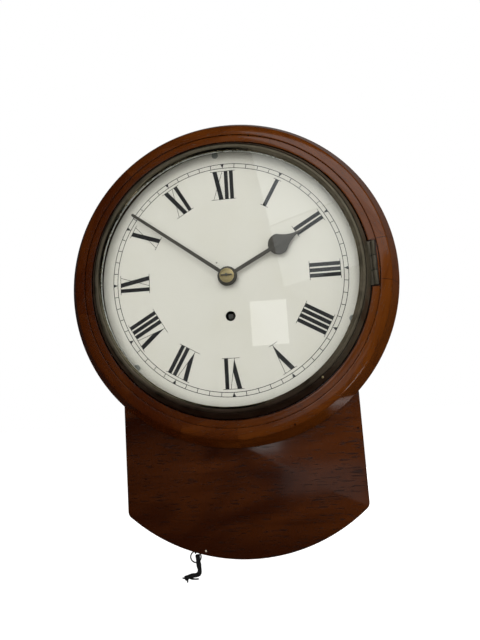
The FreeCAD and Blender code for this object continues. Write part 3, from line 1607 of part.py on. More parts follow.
def hour_bridge():
    """The bridge over the cannon wheel, with the pipe that the hour wheel turns on."""
    span, wide = S.bridge_half, S.bridge_width / 2
    strap = box((-wide, wide), (bridge_back, bridge_front), (-span, span))
    feet = [
        box((-wide, wide), (plate_face, bridge_back), z)
        for z in ((-span, S.bridge_width / 2 - span), (span - S.bridge_width / 2, span))
    ]
    pipe = rod(S.bridge_pipe, hour_face - bridge_back, 0, bridge_back, 0)
    bore = rod(S.cannon_pipe + S.running_fit, hour_face - bridge_back, 0, bridge_back, 0)
    finish("hour_bridge", cut(fuse(strap, *feet, pipe), bore))


def friction_spring():
    """The washer that presses the cannon forward so that the hands can be set."""
    start = plate_face + S.face_gap
    bore = S.arbor_radius + S.running_fit
    finish("friction_spring", turned([
        (bore, start), (S.friction_radius, start), (S.friction_radius, start + S.friction_thick),
        (bore, start + S.friction_thick),
    ]))


def fixing_screws():
    """Screws of the hanging plate and the back cock, and the shouldered screw of the minute wheel."""
    solids = hanger_screw_solids() + cock_screw_solids() + [minute_stud_solid()]
    finish("fixing_screws", group(*solids))


# Hands


def hand(label, blade, boss, hole, back, turn):
    """A hand with a round boss, set at its clock angle."""
    body = flat([], [(0, 0, boss), (0, 0, hole)], back, S.hand_thick)
    flat([blade], [], back, S.hand_thick, body)
    body.Placement = FreeCAD.Placement(Vector(), FreeCAD.Rotation(Vector(0, 1, 0), 90))
    bind(body, "Placement.Rotation.Angle", turn)
    finish(label, body)


def hands():
    """A pear-shaped hour hand and a straight minute hand."""
    stem, neck, bulb = S.hour_stem / 2, S.hour_neck / 2, S.hour_bulb
    bulb_foot = S.hour_bulb_at - root(bulb * bulb - stem * stem)
    shoulder = (bulb * 0.93, S.hour_bulb_at + bulb * root(as_size(1 - 0.93 * 0.93)))
    taper = (S.hour_neck_at - S.hour_bulb_at) * 1.5
    start = (S.hour_boss + S.hour_pipe) / 2
    hour_blade = [
        (stem, start),
        (stem, bulb_foot),
        (bulb, S.hour_bulb_at, bulb),
        (shoulder[0], shoulder[1], bulb),
        (neck, S.hour_neck_at, -taper),
        (neck / 3, S.hour_tip_at),
        (-neck / 3, S.hour_tip_at),
        (-neck, S.hour_neck_at),
        (-shoulder[0], shoulder[1], -taper),
        (-bulb, S.hour_bulb_at, bulb),
        (-stem, bulb_foot, bulb),
        (-stem, start),
    ]
    hand("hour_hand", hour_blade, S.hour_boss, S.hour_pipe + S.running_fit, hour_face, S.hour_hand_angle)
    wide, tip = S.minute_root / 2, S.minute_tip / 2
    length = S.dial_radius - S.minute_margin
    minute_blade = [
        (wide, S.minute_boss / 2),
        (tip, length - tip),
        (-tip, length - tip, tip * 1.001),
        (-wide, S.minute_boss / 2),
    ]
    hand("minute_hand", minute_blade, S.minute_boss, S.cannon_nose + S.running_fit, minute_face,
         S.minute_hand_angle)


def collet():
    """The domed collet in front of the minute hand and the taper pin that holds it."""
    back = minute_face + S.hand_thick + S.face_gap
    bore = S.arbor_radius + S.running_fit
    crown = S.collet_radius * 0.45
    finish("hand_collet", turned([
        (bore, back),
        (S.collet_radius, back),
        (S.collet_radius, back + S.collet_height / 4),
        (crown, collet_front, S.collet_radius * 0.75),
        (bore, collet_front),
    ]))
    length, pin_f = S.collet_pin_length, collet_front + S.collet_pin + S.face_gap
    finish("collet_pin", group(rod(S.collet_pin, length, -length / 2, pin_f, 0, RIGHTWARD)))


def build():
    """Make every sub-part."""
    backboard()
    hanging_plate()
    sides()
    boards()
    door_hinges()
    bottom_door()
    lace()
    side_door()
    surround()
    surround_fixings()
    bezel()
    bezel_hinge()
    dial()
    hands()
    collet()
    movement_plates()
    posts()
    great_wheel()
    centre_wheel()
    third_wheel()
    escape_wheel()
    pallets()
    crutch()
    back_cock()
    pendulum()
    fusee()
    barrel()
    setup_work()
    fusee_line()
    cannon_wheel()
    minute_wheel()
    hour_wheel()
    hour_bridge()
    friction_spring()
    fixing_screws()


def write():
    """Check every object and write each sub-part."""
    doc.recompute()
    failed = [item.Label for item in doc.Objects if {"Invalid", "Error"} & set(item.State)]
    failed += [label for label, item in parts.items() if item.Shape.isNull() or not item.Shape.isValid()]
    if failed:
        raise RuntimeError(f"not built: {failed}")
    os.makedirs("parts", exist_ok=True)
    for label, item in parts.items():
        item.Shape.exportStep(f"parts/{label}.step")


build()
write()
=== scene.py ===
"""Looks of the drop dial wall clock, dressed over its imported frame."""
import json
import logging
import math
from collections.abc import Callable, Iterable, Sequence
from dataclasses import dataclass
from enum import Enum

import bmesh
import bpy
from mathutils import Matrix, Quaternion, Vector

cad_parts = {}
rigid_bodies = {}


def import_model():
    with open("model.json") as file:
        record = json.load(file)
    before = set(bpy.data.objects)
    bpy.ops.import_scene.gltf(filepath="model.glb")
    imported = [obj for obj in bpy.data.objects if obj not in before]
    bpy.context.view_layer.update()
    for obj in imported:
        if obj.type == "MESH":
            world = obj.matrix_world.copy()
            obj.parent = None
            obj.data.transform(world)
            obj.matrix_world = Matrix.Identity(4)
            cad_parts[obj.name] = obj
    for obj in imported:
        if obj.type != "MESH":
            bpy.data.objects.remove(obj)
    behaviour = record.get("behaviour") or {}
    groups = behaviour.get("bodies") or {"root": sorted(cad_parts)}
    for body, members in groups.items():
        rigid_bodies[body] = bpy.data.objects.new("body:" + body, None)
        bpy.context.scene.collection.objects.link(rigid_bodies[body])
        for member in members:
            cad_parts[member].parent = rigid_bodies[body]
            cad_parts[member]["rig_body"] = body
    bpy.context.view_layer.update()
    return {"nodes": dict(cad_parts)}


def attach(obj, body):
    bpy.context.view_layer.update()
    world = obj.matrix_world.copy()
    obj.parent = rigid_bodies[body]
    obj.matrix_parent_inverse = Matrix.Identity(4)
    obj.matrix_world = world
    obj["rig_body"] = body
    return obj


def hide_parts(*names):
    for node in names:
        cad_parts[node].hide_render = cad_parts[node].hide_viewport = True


for leftover in list(bpy.data.objects):
    bpy.data.objects.remove(leftover)
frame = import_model()

logging.basicConfig(level=logging.INFO, format="%(message)s")
log = logging.getLogger("clock")

Colour = tuple[float, float, float]
Point = tuple[float, float, float]
Span = tuple[float, float]
BMesh = bmesh.types.BMesh

MM = 0.001
DIAL_HEIGHT = -0.140
WELD = 1e-6
FLAT_ANGLE = 0.4
SHARP_ANGLE = 35.0
EASED_ANGLE = 40.0
LACE_ANGLE = 60.0
WHITE: Colour = (1.0, 1.0, 1.0)


def spot(x: float, forward: float, z: float) -> Vector:
    """Gives a point in the row frame from millimetres off the dial's centre and the wall."""
    return Vector((x * MM, -forward * MM, DIAL_HEIGHT + z * MM))


def operator(operation: str, swapped: bool = False) -> Callable[..., "Signal"]:
    """Makes one of the methods of Signal.

    Args:
        operation: the Math node's operation.
        swapped: whether the signal itself comes last.

    Returns:
        The method.
    """

    def method(signal: "Signal", *others: "Value") -> "Signal":
        """Adds one Math node over the signal and the other values."""
        values = (*others, signal) if swapped else (signal, *others)
        return signal.recipe.node("ShaderNodeMath", {"operation": operation}, dict(enumerate(values)))

    return method


class Signal:
    """One output socket of a node tree, whose arithmetic adds Math nodes."""

    __add__, __radd__ = operator("ADD"), operator("ADD", swapped=True)
    __sub__, __rsub__ = operator("SUBTRACT"), operator("SUBTRACT", swapped=True)
    __mul__, __rmul__ = operator("MULTIPLY"), operator("MULTIPLY", swapped=True)
    __truediv__, __abs__ = operator("DIVIDE"), operator("ABSOLUTE")
    floor, root, sine, cosine = operator("FLOOR"), operator("SQRT"), operator("SINE"), operator("COSINE")
    angle_over, most = operator("ARCTAN2"), operator("MAXIMUM")

    def __init__(self, recipe: "Recipe", socket: bpy.types.NodeSocket) -> None:
        """Keeps the socket and the recipe that it belongs to."""
        self.recipe = recipe
        self.socket = socket

    def step(self, low: float, high: float) -> "Signal":
        """Rises smoothly from 0 to 1 between two values, or falls where low is the larger.

        Args:
            low: the value at which the result is 0.
            high: the value at which it is 1.

        Returns:
            The result.
        """
        ends = {"Value": self, "From Min": min(low, high), "From Max": max(low, high)}
        rise = self.recipe.node("ShaderNodeMapRange", {"interpolation_type": "SMOOTHSTEP"}, ends)
        return 1.0 - rise if low > high else rise


Value = Signal | float
Coat = tuple[Value, Signal | Colour]


class Recipe:
    """The nodes of one material or world."""

    noise_roughness = 0.55

    def __init__(self, owner: bpy.types.Material | bpy.types.World) -> None:
        """Starts from an empty node tree.

        Args:
            owner: the material or world.
        """
        owner.use_nodes = True
        self.tree = owner.node_tree
        self.tree.nodes.clear()

    def node(
        self,
        kind: str,
        settings: dict[str, object] | None = None,
        inputs: dict[str | int, object] | None = None,
        output: str | int = 0,
    ) -> Signal:
        """Adds any node.

        Args:
            kind: the node's type.
            settings: its own properties, set first.
            inputs: values or signals for its sockets, by name or place.
            output: the socket to give back.

        Returns:
            The chosen output.
        """
        made = self.tree.nodes.new(kind)
        for key, value in (settings or {}).items():
            setattr(made, key, value)
        for key, value in (inputs or {}).items():
            socket = made.inputs[key]
            if isinstance(value, Signal):
                self.tree.links.new(value.socket, socket)
            elif socket.type == "RGBA":
                socket.default_value = (*value, 1.0)
            else:
                socket.default_value = value
        return Signal(self, made.outputs[output] if len(made.outputs) else None)

    def place(
        self,
        size: Sequence[float] = (1.0, 1.0, 1.0),
        centre: Sequence[float] = (0.0, 0.0, 0.0),
        turn: Sequence[float] = (0.0, 0.0, 0.0),
    ) -> Signal:
        """Gives object coordinates for a pattern.

        Args:
            size: the pattern's unit along each axis, in millimetres.
            centre: the pattern's origin in the row frame.
            turn: its rotation, in degrees.

        Returns:
            The mapped coordinates.
        """
        return self.node(
            "ShaderNodeMapping",
            {"vector_type": "TEXTURE"},
            {
                "Vector": self.node("ShaderNodeTexCoord", output="Object"),
                "Location": tuple(centre),
                "Rotation": tuple(math.radians(part) for part in turn),
                "Scale": tuple(part * MM for part in size),
            },
        )

    def axes(self, vector: Signal) -> tuple[Signal, Signal, Signal]:
        """Splits a vector into its three parts."""
        parts = self.node("ShaderNodeSeparateXYZ", inputs={"Vector": vector}).socket.node.outputs
        return Signal(self, parts[0]), Signal(self, parts[1]), Signal(self, parts[2])

    def front(self, x: float = 0.0, z: float = 0.0) -> tuple[Signal, Signal, Signal]:
        """Gives the lengths across, back and up from a place on the front, in millimetres."""
        return self.axes(self.place(centre=spot(x, 0, z)))

    def vector(self, x: Value, y: Value, z: Value) -> Signal:
        """Joins three values into a vector."""
        return self.node("ShaderNodeCombineXYZ", inputs={"X": x, "Y": y, "Z": z})

    def noise(self, over: Signal | Point, detail: float = 3.0, twist: float = 0.0) -> Signal:
        """Gives a cloudy noise between 0 and 1.

        Args:
            over: coordinates, or the pattern's unit along each axis in millimetres.
            detail: the number of finer layers.
            twist: how far the pattern is distorted.

        Returns:
            The noise.
        """
        inputs = {"Vector": over if isinstance(over, Signal) else self.place(over), "Scale": 1.0}
        inputs |= {"Detail": detail, "Roughness": self.noise_roughness, "Distortion": twist}
        return self.node("ShaderNodeTexNoise", inputs=inputs)

    def tint(self, amount: Value, first: Signal | Colour, second: Signal | Colour) -> Signal:
        """Mixes from a first to a second colour."""
        return self.node("ShaderNodeMix", {"data_type": "RGBA"}, {0: amount, 6: first, 7: second}, output=2)

    def over(self, colour: Signal, coats: Iterable[Coat]) -> Signal:
        """Lays coats over a colour, each where its mask says.

        Args:
            colour: the colour underneath.
            coats: masks and colours, from the lowest up.

        Returns:
            The colour with its coats.
        """
        for mask, coat in coats:
            colour = self.tint(mask, colour, coat)
        return colour

    def relief(self, height: Signal, depth: float) -> Signal:
        """Turns a height into a normal, with the depth in millimetres."""
        return self.node("ShaderNodeBump", inputs={"Height": height, "Distance": depth * MM, "Strength": 1.0})

    def near(self, x: float, z: float, inner: float, outer: float) -> Signal:
        """Gives a round mark at a place on the front, 1 inside and 0 outside, in millimetres."""
        across, _, up = self.front(x, z)
        return (across * across + up * up).root().step(outer, inner)

    def polar(self) -> tuple[Signal, Signal, Signal]:
        """Gives the angle clockwise from the top, the radius and the depth about the dial, in millimetres."""
        x, y, z = self.front()
        return x.angle_over(z), (x * x + z * z).root(), y

    def seen(self) -> Signal:
        """Tells what the camera sees, also through the glass, from what other rays meet.

        Returns:
            1 for what is seen, and 0 for the rest.
        """
        direct, through = (
            self.node("ShaderNodeLightPath", output=ray) for ray in ("Is Camera Ray", "Is Transmission Ray")
        )
        return direct.most(through)

    def surface(self, **inputs: object) -> None:
        """Ends the material in a principled shader.

        Args:
            **inputs: values or signals for its sockets, which are named with underscores.
        """
        named = {key.replace("_", " "): value for key, value in inputs.items()}
        shader = self.node("ShaderNodeBsdfPrincipled", inputs=named)
        self.node("ShaderNodeOutputMaterial", inputs={"Surface": shader})


@dataclass(frozen=True)
class Finish:
    """A surface finish and the record slot that it belongs to."""

    name: str
    slot: str

    def paint(self, recipe: Recipe) -> None:
        """Builds the nodes of this finish."""
        raise NotImplementedError

    def material(self) -> bpy.types.Material:
        """Gives the finish's material, made when it is first asked for.

        Returns:
            The material.
        """
        known = bpy.data.materials.get(self.name)
        if known is None:
            known = bpy.data.materials.new(self.name)
            self.paint(Recipe(known))
        return known


class Cut(Enum):
    """The way a mahogany piece is cut: along which axis its grain lies."""

    RING = "ring"
    ACROSS = "across"
    UPRIGHT = "upright"


# pores, streaks and figure: units along, through and across the grain in millimetres, detail and twist
BROAD = ((120.0, 60.0, 52.0), 2.0, 0.9)
GRAIN = {
    Cut.RING: (((10.0, 4.0, 1.3), 2.0, 0.0), ((110.0, 7.0, 3.2), 3.0, 0.3), ((70.0, 40.0, 26.0), 2.0, 0.8)),
    Cut.ACROSS: (((15.0, 1.5, 1.5), 2.0, 0.0), ((120.0, 12.0, 4.5), 3.0, 0.4), BROAD),
    Cut.UPRIGHT: (((1.5, 1.5, 15.0), 2.0, 0.0), ((4.5, 12.0, 120.0), 3.0, 0.4), BROAD),
}


@dataclass(frozen=True)
class Mahogany(Finish):
    """French-polished mahogany with pores, broad figure and wear; painted light makes it lighter towards one
    side, and painted shade darkens the ring's recess inside the lip and its hinge recess.
    """

    cut: Cut
    dark: Colour
    light: Colour
    # darkest colour, for pores, marks and glue joints, and also for painted shade inside the lip and in the
    # hinge recess
    pore_and_shade: Colour = (0.006, 0.0015, 0.0007)
    pale: Colour = (0.42, 0.36, 0.28)
    gloss: float = 0.2
    segments: int = 6
    segment_shift: float = 37.0
    first_joint: float = 80.7
    joints: tuple[float, ...] = (80.7, 96.2)
    flank: Span = (185.0, 187.5)
    foot: Span = (-265.0, -315.0)
    figure_turn: float = -14.0
    pore_edges: Span = (0.57, 0.67)
    streak_edges: Span = (0.48, 0.8)
    streak_depth: float = 0.42
    wave: Point = (30.0, 30.0, 30.0)
    glue_line: Span = (0.55, 0.2)
    faint_line: Span = (0.5, 0.12)
    faint: float = 0.25
    spot_depth: float = 0.9
    # painted shade: this field and the next five darken the recess inside the lip and the hinge recess, where
    # shade falls
    rebate_shade: float = 164.6
    rebate_blur: float = 0.3
    mortise_shade: float = 163.0
    mortise_reach: Span = (28.0, 29.0)
    mortise_level: Span = (-140.1, -139.8)
    mortise_edge: Span = (175.5, 174.8)
    open: float = 0.8
    mottle: float = 1.2
    # painted light: this field and the next two make the wood lighter towards the right and a little upwards,
    # where light falls
    painted_light_drift: float = 0.0
    reach: float = 150.0
    rise: float = 0.0
    low: float = 0.0
    marks: tuple[Point, ...] = ()
    nails: tuple[Point, ...] = ()

    def paint(self, recipe: Recipe) -> None:
        """Builds figure, streaks, pores, marks, painted light and shade, and the polish over them.

        Args:
            recipe: the material in the making.
        """
        x, depth, z = recipe.front()
        flank = 0.0
        if self.cut is Cut.RING:
            radius = recipe.polar()[1]
            along, across, joint, shade = self._segments(recipe)
            pores, streaks, figure = (
                recipe.noise(recipe.vector(along / a, depth / b, across / c), detail, twist)
                for (a, b, c), detail, twist in GRAIN[self.cut]
            )
            figure = figure + (shade - 0.5) * 0.06
            flank = radius.step(*self.flank)
        else:
            pores, streaks, figure = (
                recipe.noise(recipe.place(unit, turn=(0.0, turn, 0.0)), detail, twist)
                for turn, (unit, detail, twist) in zip((0.0, 0.0, self.figure_turn), GRAIN[self.cut])
            )
        # painted light: side rises across the piece and lightens the tone towards the lit side
        side = (x + z * self.rise).step(-self.reach, self.reach)
        wave = recipe.noise(self.wave, 1.0)
        tone = ((figure - 0.5) * self.mottle + 0.5 + (side - 0.5) * self.painted_light_drift).step(0.0, 1.0)
        fleck = pores.step(*self.pore_edges) * (1.0 - flank * 0.8)
        coats = [
            (streaks.step(*self.streak_edges) * self.streak_depth, self.dark),
            (z.step(*self.foot) * self.low, self.dark),
            (fleck * self.open, self.pore_and_shade),
        ]
        if self.cut is Cut.RING:
            # painted shade: darkens the recess inside the lip and the hinge recess, laid together with the
            # real glue joints
            rebate_shade = radius.step(self.rebate_shade + self.rebate_blur, self.rebate_shade)
            mortise_shade = recipe.near(self.mortise_shade, 0.0, *self.mortise_reach) * depth.step(*self.mortise_level)
            mortise_shade = mortise_shade * radius.step(*self.mortise_edge)
            coats.append(((joint * 0.75).most(rebate_shade).most(mortise_shade) * 0.95, self.pore_and_shade))
        for stain, core, spots in ((self.pore_and_shade, 0.4, self.marks), (self.pale, 0.6, self.nails)):
            for right, up, size in spots:
                coats.append((recipe.near(right, up, size * core, size) * self.spot_depth, stain))
        recipe.surface(
            Base_Color=recipe.over(recipe.tint(tone, self.dark, self.light), coats),
            Roughness=self.gloss + fleck * 0.2 + wave * 0.08,
            Specular_IOR_Level=0.5,
            Coat_Weight=0.35,
            Coat_Roughness=0.1,
            Normal=recipe.relief(wave * 0.3 - fleck * 0.06, 0.3),
        )

    def _segments(self, recipe: Recipe) -> tuple[Signal, Signal, Signal, Signal]:
        """Lays the grain along each glued segment of the ring.

        Args:
            recipe: the material in the making.

        Returns:
            Lengths along and across the grain, a mask of the glue lines, and each segment's shade.
        """
        x, _, z = recipe.front()
        angle, radius, _ = recipe.polar()
        share = math.tau / self.segments
        start = math.radians(self.first_joint)
        turns = (angle - start) / share
        index = turns.floor()
        middle = (index + 0.5) * share + start
        along = x * middle.cosine() - z * middle.sine()
        across = x * middle.sine() + z * middle.cosine()
        gap = (0.5 - abs(turns - index - 0.5)) * radius * share
        shade = recipe.node("ShaderNodeTexWhiteNoise", {"noise_dimensions": "1D"}, {"W": index})
        joint = gap.step(*self.faint_line) * self.faint
        for place in self.joints:
            joint = joint.most((abs(angle - math.radians(place)) * radius).step(*self.glue_line))
        return along, across + index * self.segment_shift, joint, shade


@dataclass(frozen=True)
class CarcaseWood(Finish):
    """Plain unpolished deal of the back and the inside."""

    dark: Colour = (0.20, 0.115, 0.055)
    light: Colour = (0.36, 0.235, 0.125)
    dusty: Colour = (0.13, 0.085, 0.05)
    fibrous: Colour = (0.11, 0.06, 0.03)

    def paint(self, recipe: Recipe) -> None:
        """Builds upright growth rings, dust and a dry surface.

        Args:
            recipe: the material in the making.
        """
        rings = recipe.noise((5.0, 14.0, 230.0), 4.0, 0.5)
        fibre = recipe.noise((0.5, 0.6, 14.0), 2.0)
        dust = recipe.noise((60.0, 60.0, 80.0), 3.0)
        coats = (dust.step(0.45, 0.8) * 0.35, self.dusty), (fibre.step(0.58, 0.75) * 0.3, self.fibrous)
        recipe.surface(
            Base_Color=recipe.over(recipe.tint(rings.step(0.35, 0.66), self.light, self.dark), coats),
            Roughness=0.62 + fibre * 0.2,
            Normal=recipe.relief(fibre + rings * 0.4, 0.12),
        )


@dataclass(frozen=True)
class Brass(Finish):
    """Old brass with patina, turned lines and darker hollows, and with painted shade on the bezel's rim,
    lower part, left side and inner lip, and behind the winding hole.
    """

    bright: Colour = (0.36, 0.27, 0.12)
    tarnish: Colour = (0.10, 0.083, 0.052)
    covered: float = 0.5
    gloss: float = 0.34
    turned: bool = False
    metal: float = 0.55
    hollows: tuple[Span, ...] = ()
    # painted shade: inside this radius the inner lip is made dark, smooth metal on the left side only
    polished: float = 0.0
    joints: tuple[float, ...] = ()
    # painted shade: the place and size round which the brass is darkened behind the winding hole
    stain: Point | None = None
    # painted shade: turns on darkening of the bezel's rim, lower part and left side
    painted_shade: bool = False
    hollow_dirt: Colour = (0.012, 0.009, 0.005)
    joint_dirt: Colour = (0.008, 0.006, 0.004)
    # painted shade colour behind the winding hole
    winding_hole_shade: Colour = (0.006, 0.005, 0.003)
    # painted shade colour for the bezel's rim, lower part and left side
    painted_shade_colour: Colour = (0.020, 0.0065, 0.0028)
    # colours of the inner lip where it is darkened on the left as painted shade
    shaded_lip_colours: tuple[Colour, Colour] = ((0.10, 0.085, 0.05), (0.20, 0.17, 0.11))
    cloud: Point = (16.0, 16.0, 16.0)
    brushed_line: Point = (14.0, 0.4, 0.4)
    turned_line: float = 0.32
    turned_round: float = 5.0
    line_share: float = 0.35
    cover_reach: Span = (0.26, 0.22)
    # painted shade: this field and the next three set where the rim darkens, where that fades on the right,
    # and where the left side and bottom darken
    painted_shade_rim: Span = (155.5, 157.0)
    painted_shade_right: Span = (40.0, 130.0)
    painted_shade_left: Span = (0.0, -130.0)
    painted_shade_low: Span = (-70.0, -150.0)
    # painted shade: the side on which the inner lip is darkened, and the blur of its edge
    shaded_lip_side: Span = (60.0, 10.0)
    polished_blur: float = 0.2

    def paint(self, recipe: Recipe) -> None:
        """Builds patina clouds, brushed lines, dirt in the hollows, and painted shade.

        Args:
            recipe: the material in the making.
        """
        angle, radius, depth = recipe.polar()
        clouds = recipe.noise(self.cloud, 4.0, 0.6)
        if self.turned:
            fine = self.turned_line
            lines = recipe.noise(recipe.vector(radius / fine, depth / fine, angle * self.turned_round), 2.0)
        else:
            lines = recipe.noise(self.brushed_line, 2.0)
        below, above = self.cover_reach
        cover = (clouds + (lines - 0.5) * self.line_share).step(self.covered - below, self.covered + above)
        coats = []
        for middle, half in self.hollows:
            coats.append((abs(radius - middle).step(half, half * 0.3) * 0.85, self.hollow_dirt))
        for level in self.joints:
            coats.append((abs(recipe.front(z=level)[2]).step(0.6, 0.3) * 0.9, self.joint_dirt))
        # painted shade: darkens the brass behind the winding hole
        if self.stain:
            coats.append((recipe.near(*self.stain, self.stain[2] * 1.6), self.winding_hole_shade))
        # painted shade: the rim darker except on the right, the bottom darker, and the left side a little
        # darker
        if self.painted_shade:
            across, _, up = recipe.front()
            right, left = across.step(*self.painted_shade_right), across.step(*self.painted_shade_left)
            low = up.step(*self.painted_shade_low)
            rim = radius.step(*self.painted_shade_rim) * (0.5 - right * 0.45)
            coats.append((rim.most(low * 0.85).most(left * 0.3), self.painted_shade_colour))
        metal = self.metal + cover * (0.95 - self.metal)
        rough = self.gloss + (1.0 - cover) * 0.2 + lines * 0.1
        # painted shade: the inner lip turns dark, smooth metal on the left only, so that one side shows
        # darker
        if self.polished:
            right = recipe.front()[0].step(*self.shaded_lip_side)
            blur = self.polished_blur
            smooth = radius.step(self.polished + blur, self.polished - blur) * right
            coats.append((smooth, recipe.tint(cover, *self.shaded_lip_colours)))
            metal = metal + smooth * (1.0 - metal)
            rough = rough + smooth * (0.12 - rough)
        colour = recipe.over(recipe.tint(cover, self.tarnish, self.bright), coats)
        recipe.surface(Base_Color=colour, Metallic=metal, Roughness=rough, Normal=recipe.relief(lines, 0.03))


@dataclass(frozen=True)
class Steel(Finish):
    """Worked steel with fine file lines and a little rust."""

    bare: Colour = (0.30, 0.29, 0.27)
    stain: Colour = (0.09, 0.06, 0.04)
    gloss: float = 0.3
    stained: float = 0.62
    metal: float = 0.95

    def paint(self, recipe: Recipe) -> None:
        """Builds file lines and stains.

        Args:
            recipe: the material in the making.
        """
        lines = recipe.noise((0.35, 0.35, 9.0), 2.0)
        clouds = recipe.noise((7.0, 7.0, 7.0), 4.0, 0.4)
        rust = clouds.step(self.stained - 0.08, self.stained + 0.16)
        recipe.surface(
            Base_Color=recipe.tint(rust, self.bare, self.stain),
            Metallic=self.metal * (1.0 - rust * 0.58),
            Roughness=self.gloss + rust * 0.3 + lines * 0.1,
            Normal=recipe.relief(lines, 0.02),
        )


@dataclass(frozen=True)
class DialPaint(Finish):
    """Cream enamel paint on the iron dial, with painted shade that greys it towards its rim and darkens a
    ring under the bezel.
    """

    cream: Colour = (0.635, 0.606, 0.538)
    aged: Colour = (0.585, 0.554, 0.468)
    # painted shade: edge greys the band towards the rim, and bare is the dark ring under the bezel
    edge: Colour = (0.522, 0.501, 0.440)
    bare: Colour = (0.030, 0.018, 0.010)
    speck: Colour = (0.25, 0.22, 0.17)
    scratched: Colour = (0.12, 0.11, 0.10)
    # painted shade: this field and the next three set where the dial greys and darkens under the bezel,
    # further in on the left
    shade_margin: Span = (138.0, 154.0)
    shadow_edge: float = 152.9
    shadow_left_side: Span = (-50.0, -110.0)
    shadow_left_shift: float = 2.0
    scratch: Span = (-12.4, 18.5)

    def paint(self, recipe: Recipe) -> None:
        """Builds ageing clouds, specks, a scratch, and painted shade: the greyer band towards the rim and the
        dark ring under the bezel.

        Args:
            recipe: the material in the making.
        """
        _, radius, _ = recipe.polar()
        clouds = recipe.noise((55.0, 55.0, 55.0), 4.0, 0.5)
        grains = recipe.noise((1.1, 1.1, 1.1), 2.0)
        specks = recipe.noise((3.2, 3.2, 3.2), 1.0)
        # painted shade: the dark ring reaches further in on the left side
        shadow_shift = recipe.front()[0].step(*self.shadow_left_side) * self.shadow_left_shift
        coats = (
            # painted shade: the greyer band towards the rim
            (radius.step(*self.shade_margin) * 0.6, self.edge),
            (specks.step(0.78, 0.86) * 0.4, self.speck),
            (recipe.near(*self.scratch, 0.5, 1.5) * 0.8, self.scratched),
            # painted shade: the dark ring under the bezel
            ((radius + shadow_shift).step(self.shadow_edge, self.shadow_edge + 0.8), self.bare),
        )
        recipe.surface(
            Base_Color=recipe.over(recipe.tint(clouds.step(0.42, 0.85) * 0.6, self.cream, self.aged), coats),
            Roughness=0.46 + grains * 0.12,
            Normal=recipe.relief(grains + clouds * 0.6, 0.05),
        )


@dataclass(frozen=True)
class DialInk(Finish):
    """Black printing on the dial, worn a little thin."""

    black: Colour = (0.012, 0.012, 0.013)
    worn: Colour = (0.045, 0.044, 0.042)

    def paint(self, recipe: Recipe) -> None:
        """Builds uneven black with a dull gloss.

        Args:
            recipe: the material in the making.
        """
        wear = recipe.noise((2.4, 2.4, 2.4), 3.0)
        colour = recipe.tint(wear.step(0.5, 0.78), self.black, self.worn)
        recipe.surface(Base_Color=colour, Roughness=0.42 + wear * 0.14)


@dataclass(frozen=True)
class Glass(Finish):
    """Clear convex glass: light passes through, and gloss rises at a slant."""

    straight: float = 0.04
    tone: Colour = (0.955, 0.962, 0.958)
    gloss: float = 0.02

    def paint(self, recipe: Recipe) -> None:
        """Mixes clear glass and its reflections by the slant of view.

        Args:
            recipe: the material in the making.
        """
        clear = recipe.node("ShaderNodeBsdfTransparent", inputs={"Color": self.tone})
        mirror = recipe.node("ShaderNodeBsdfGlossy", inputs={"Color": WHITE, "Roughness": self.gloss})
        slant = recipe.node("ShaderNodeLayerWeight", inputs={"Blend": 0.5}, output="Facing")
        square = slant * slant
        share = self.straight + square * square * slant * (1.0 - self.straight)
        mixed = recipe.node("ShaderNodeMixShader", inputs={0: share, 1: clear, 2: mirror})
        recipe.node("ShaderNodeOutputMaterial", inputs={"Surface": mixed})


@dataclass(frozen=True)
class WaxedLace(Finish):
    """Black waxed lace of twisted thread, dusty on its crests."""

    black: Colour = (0.002, 0.002, 0.0022)
    dusty: Colour = (0.010, 0.0095, 0.009)

    def paint(self, recipe: Recipe) -> None:
        """Builds fine thread along the lace.

        Args:
            recipe: the material in the making.
        """
        thread = recipe.noise((0.35, 0.35, 1.6), 2.0, 0.6)
        recipe.surface(
            Base_Color=recipe.tint(thread.step(0.45, 0.75), self.black, self.dusty),
            Roughness=0.66 + thread * 0.2,
            Normal=recipe.relief(thread, 0.25),
        )


# painted light makes the ring lighter towards the right; painted shade darkens its recess inside the lip and
# its hinge recess
RING_WOOD = Mahogany(
    "ring_mahogany", "mahogany", Cut.RING, (0.025, 0.0041, 0.0003), (0.086, 0.0220, 0.0022), gloss=0.09,
    mottle=0.75, painted_light_drift=0.6, reach=190.0, rise=0.2, open=0.4,
    marks=((64.0, -173.1, 1.7), (-176.6, 19.7, 1.3), (35.9, 169.3, 1.4)),
)
# painted light makes the drop front lighter towards the right
PANEL_WOOD = Mahogany(
    "panel_mahogany", "mahogany", Cut.ACROSS, (0.0085, 0.0012, 0.0001), (0.050, 0.0112, 0.0009), gloss=0.13,
    mottle=1.1, painted_light_drift=0.4, low=0.75, nails=((-48.9, -310.7, 1.3),),
    marks=((134.1, -183.0, 1.9), (100.7, -229.9, 1.5), (0.1, -217.4, 1.3)),
)
SIDE_WOOD = Mahogany(
    "side_mahogany", "mahogany", Cut.UPRIGHT, (0.015, 0.0028, 0.0006), (0.048, 0.0110, 0.0022), gloss=0.26
)
DEAL = CarcaseWood("carcase_deal", "carcase_wood")
# painted shade darkens the bezel's rim, lower part and left side
BEZEL_BRASS = Brass(
    "bezel_brass", "brass", (0.215, 0.185, 0.126), (0.085, 0.070, 0.046), 0.5, 0.3, True, 0.55,
    # painted shade: the inner lip is darkened on the left side
    hollows=((156.0, 0.7), (163.0, 0.6)), polished=151.3, painted_shade=True,
)
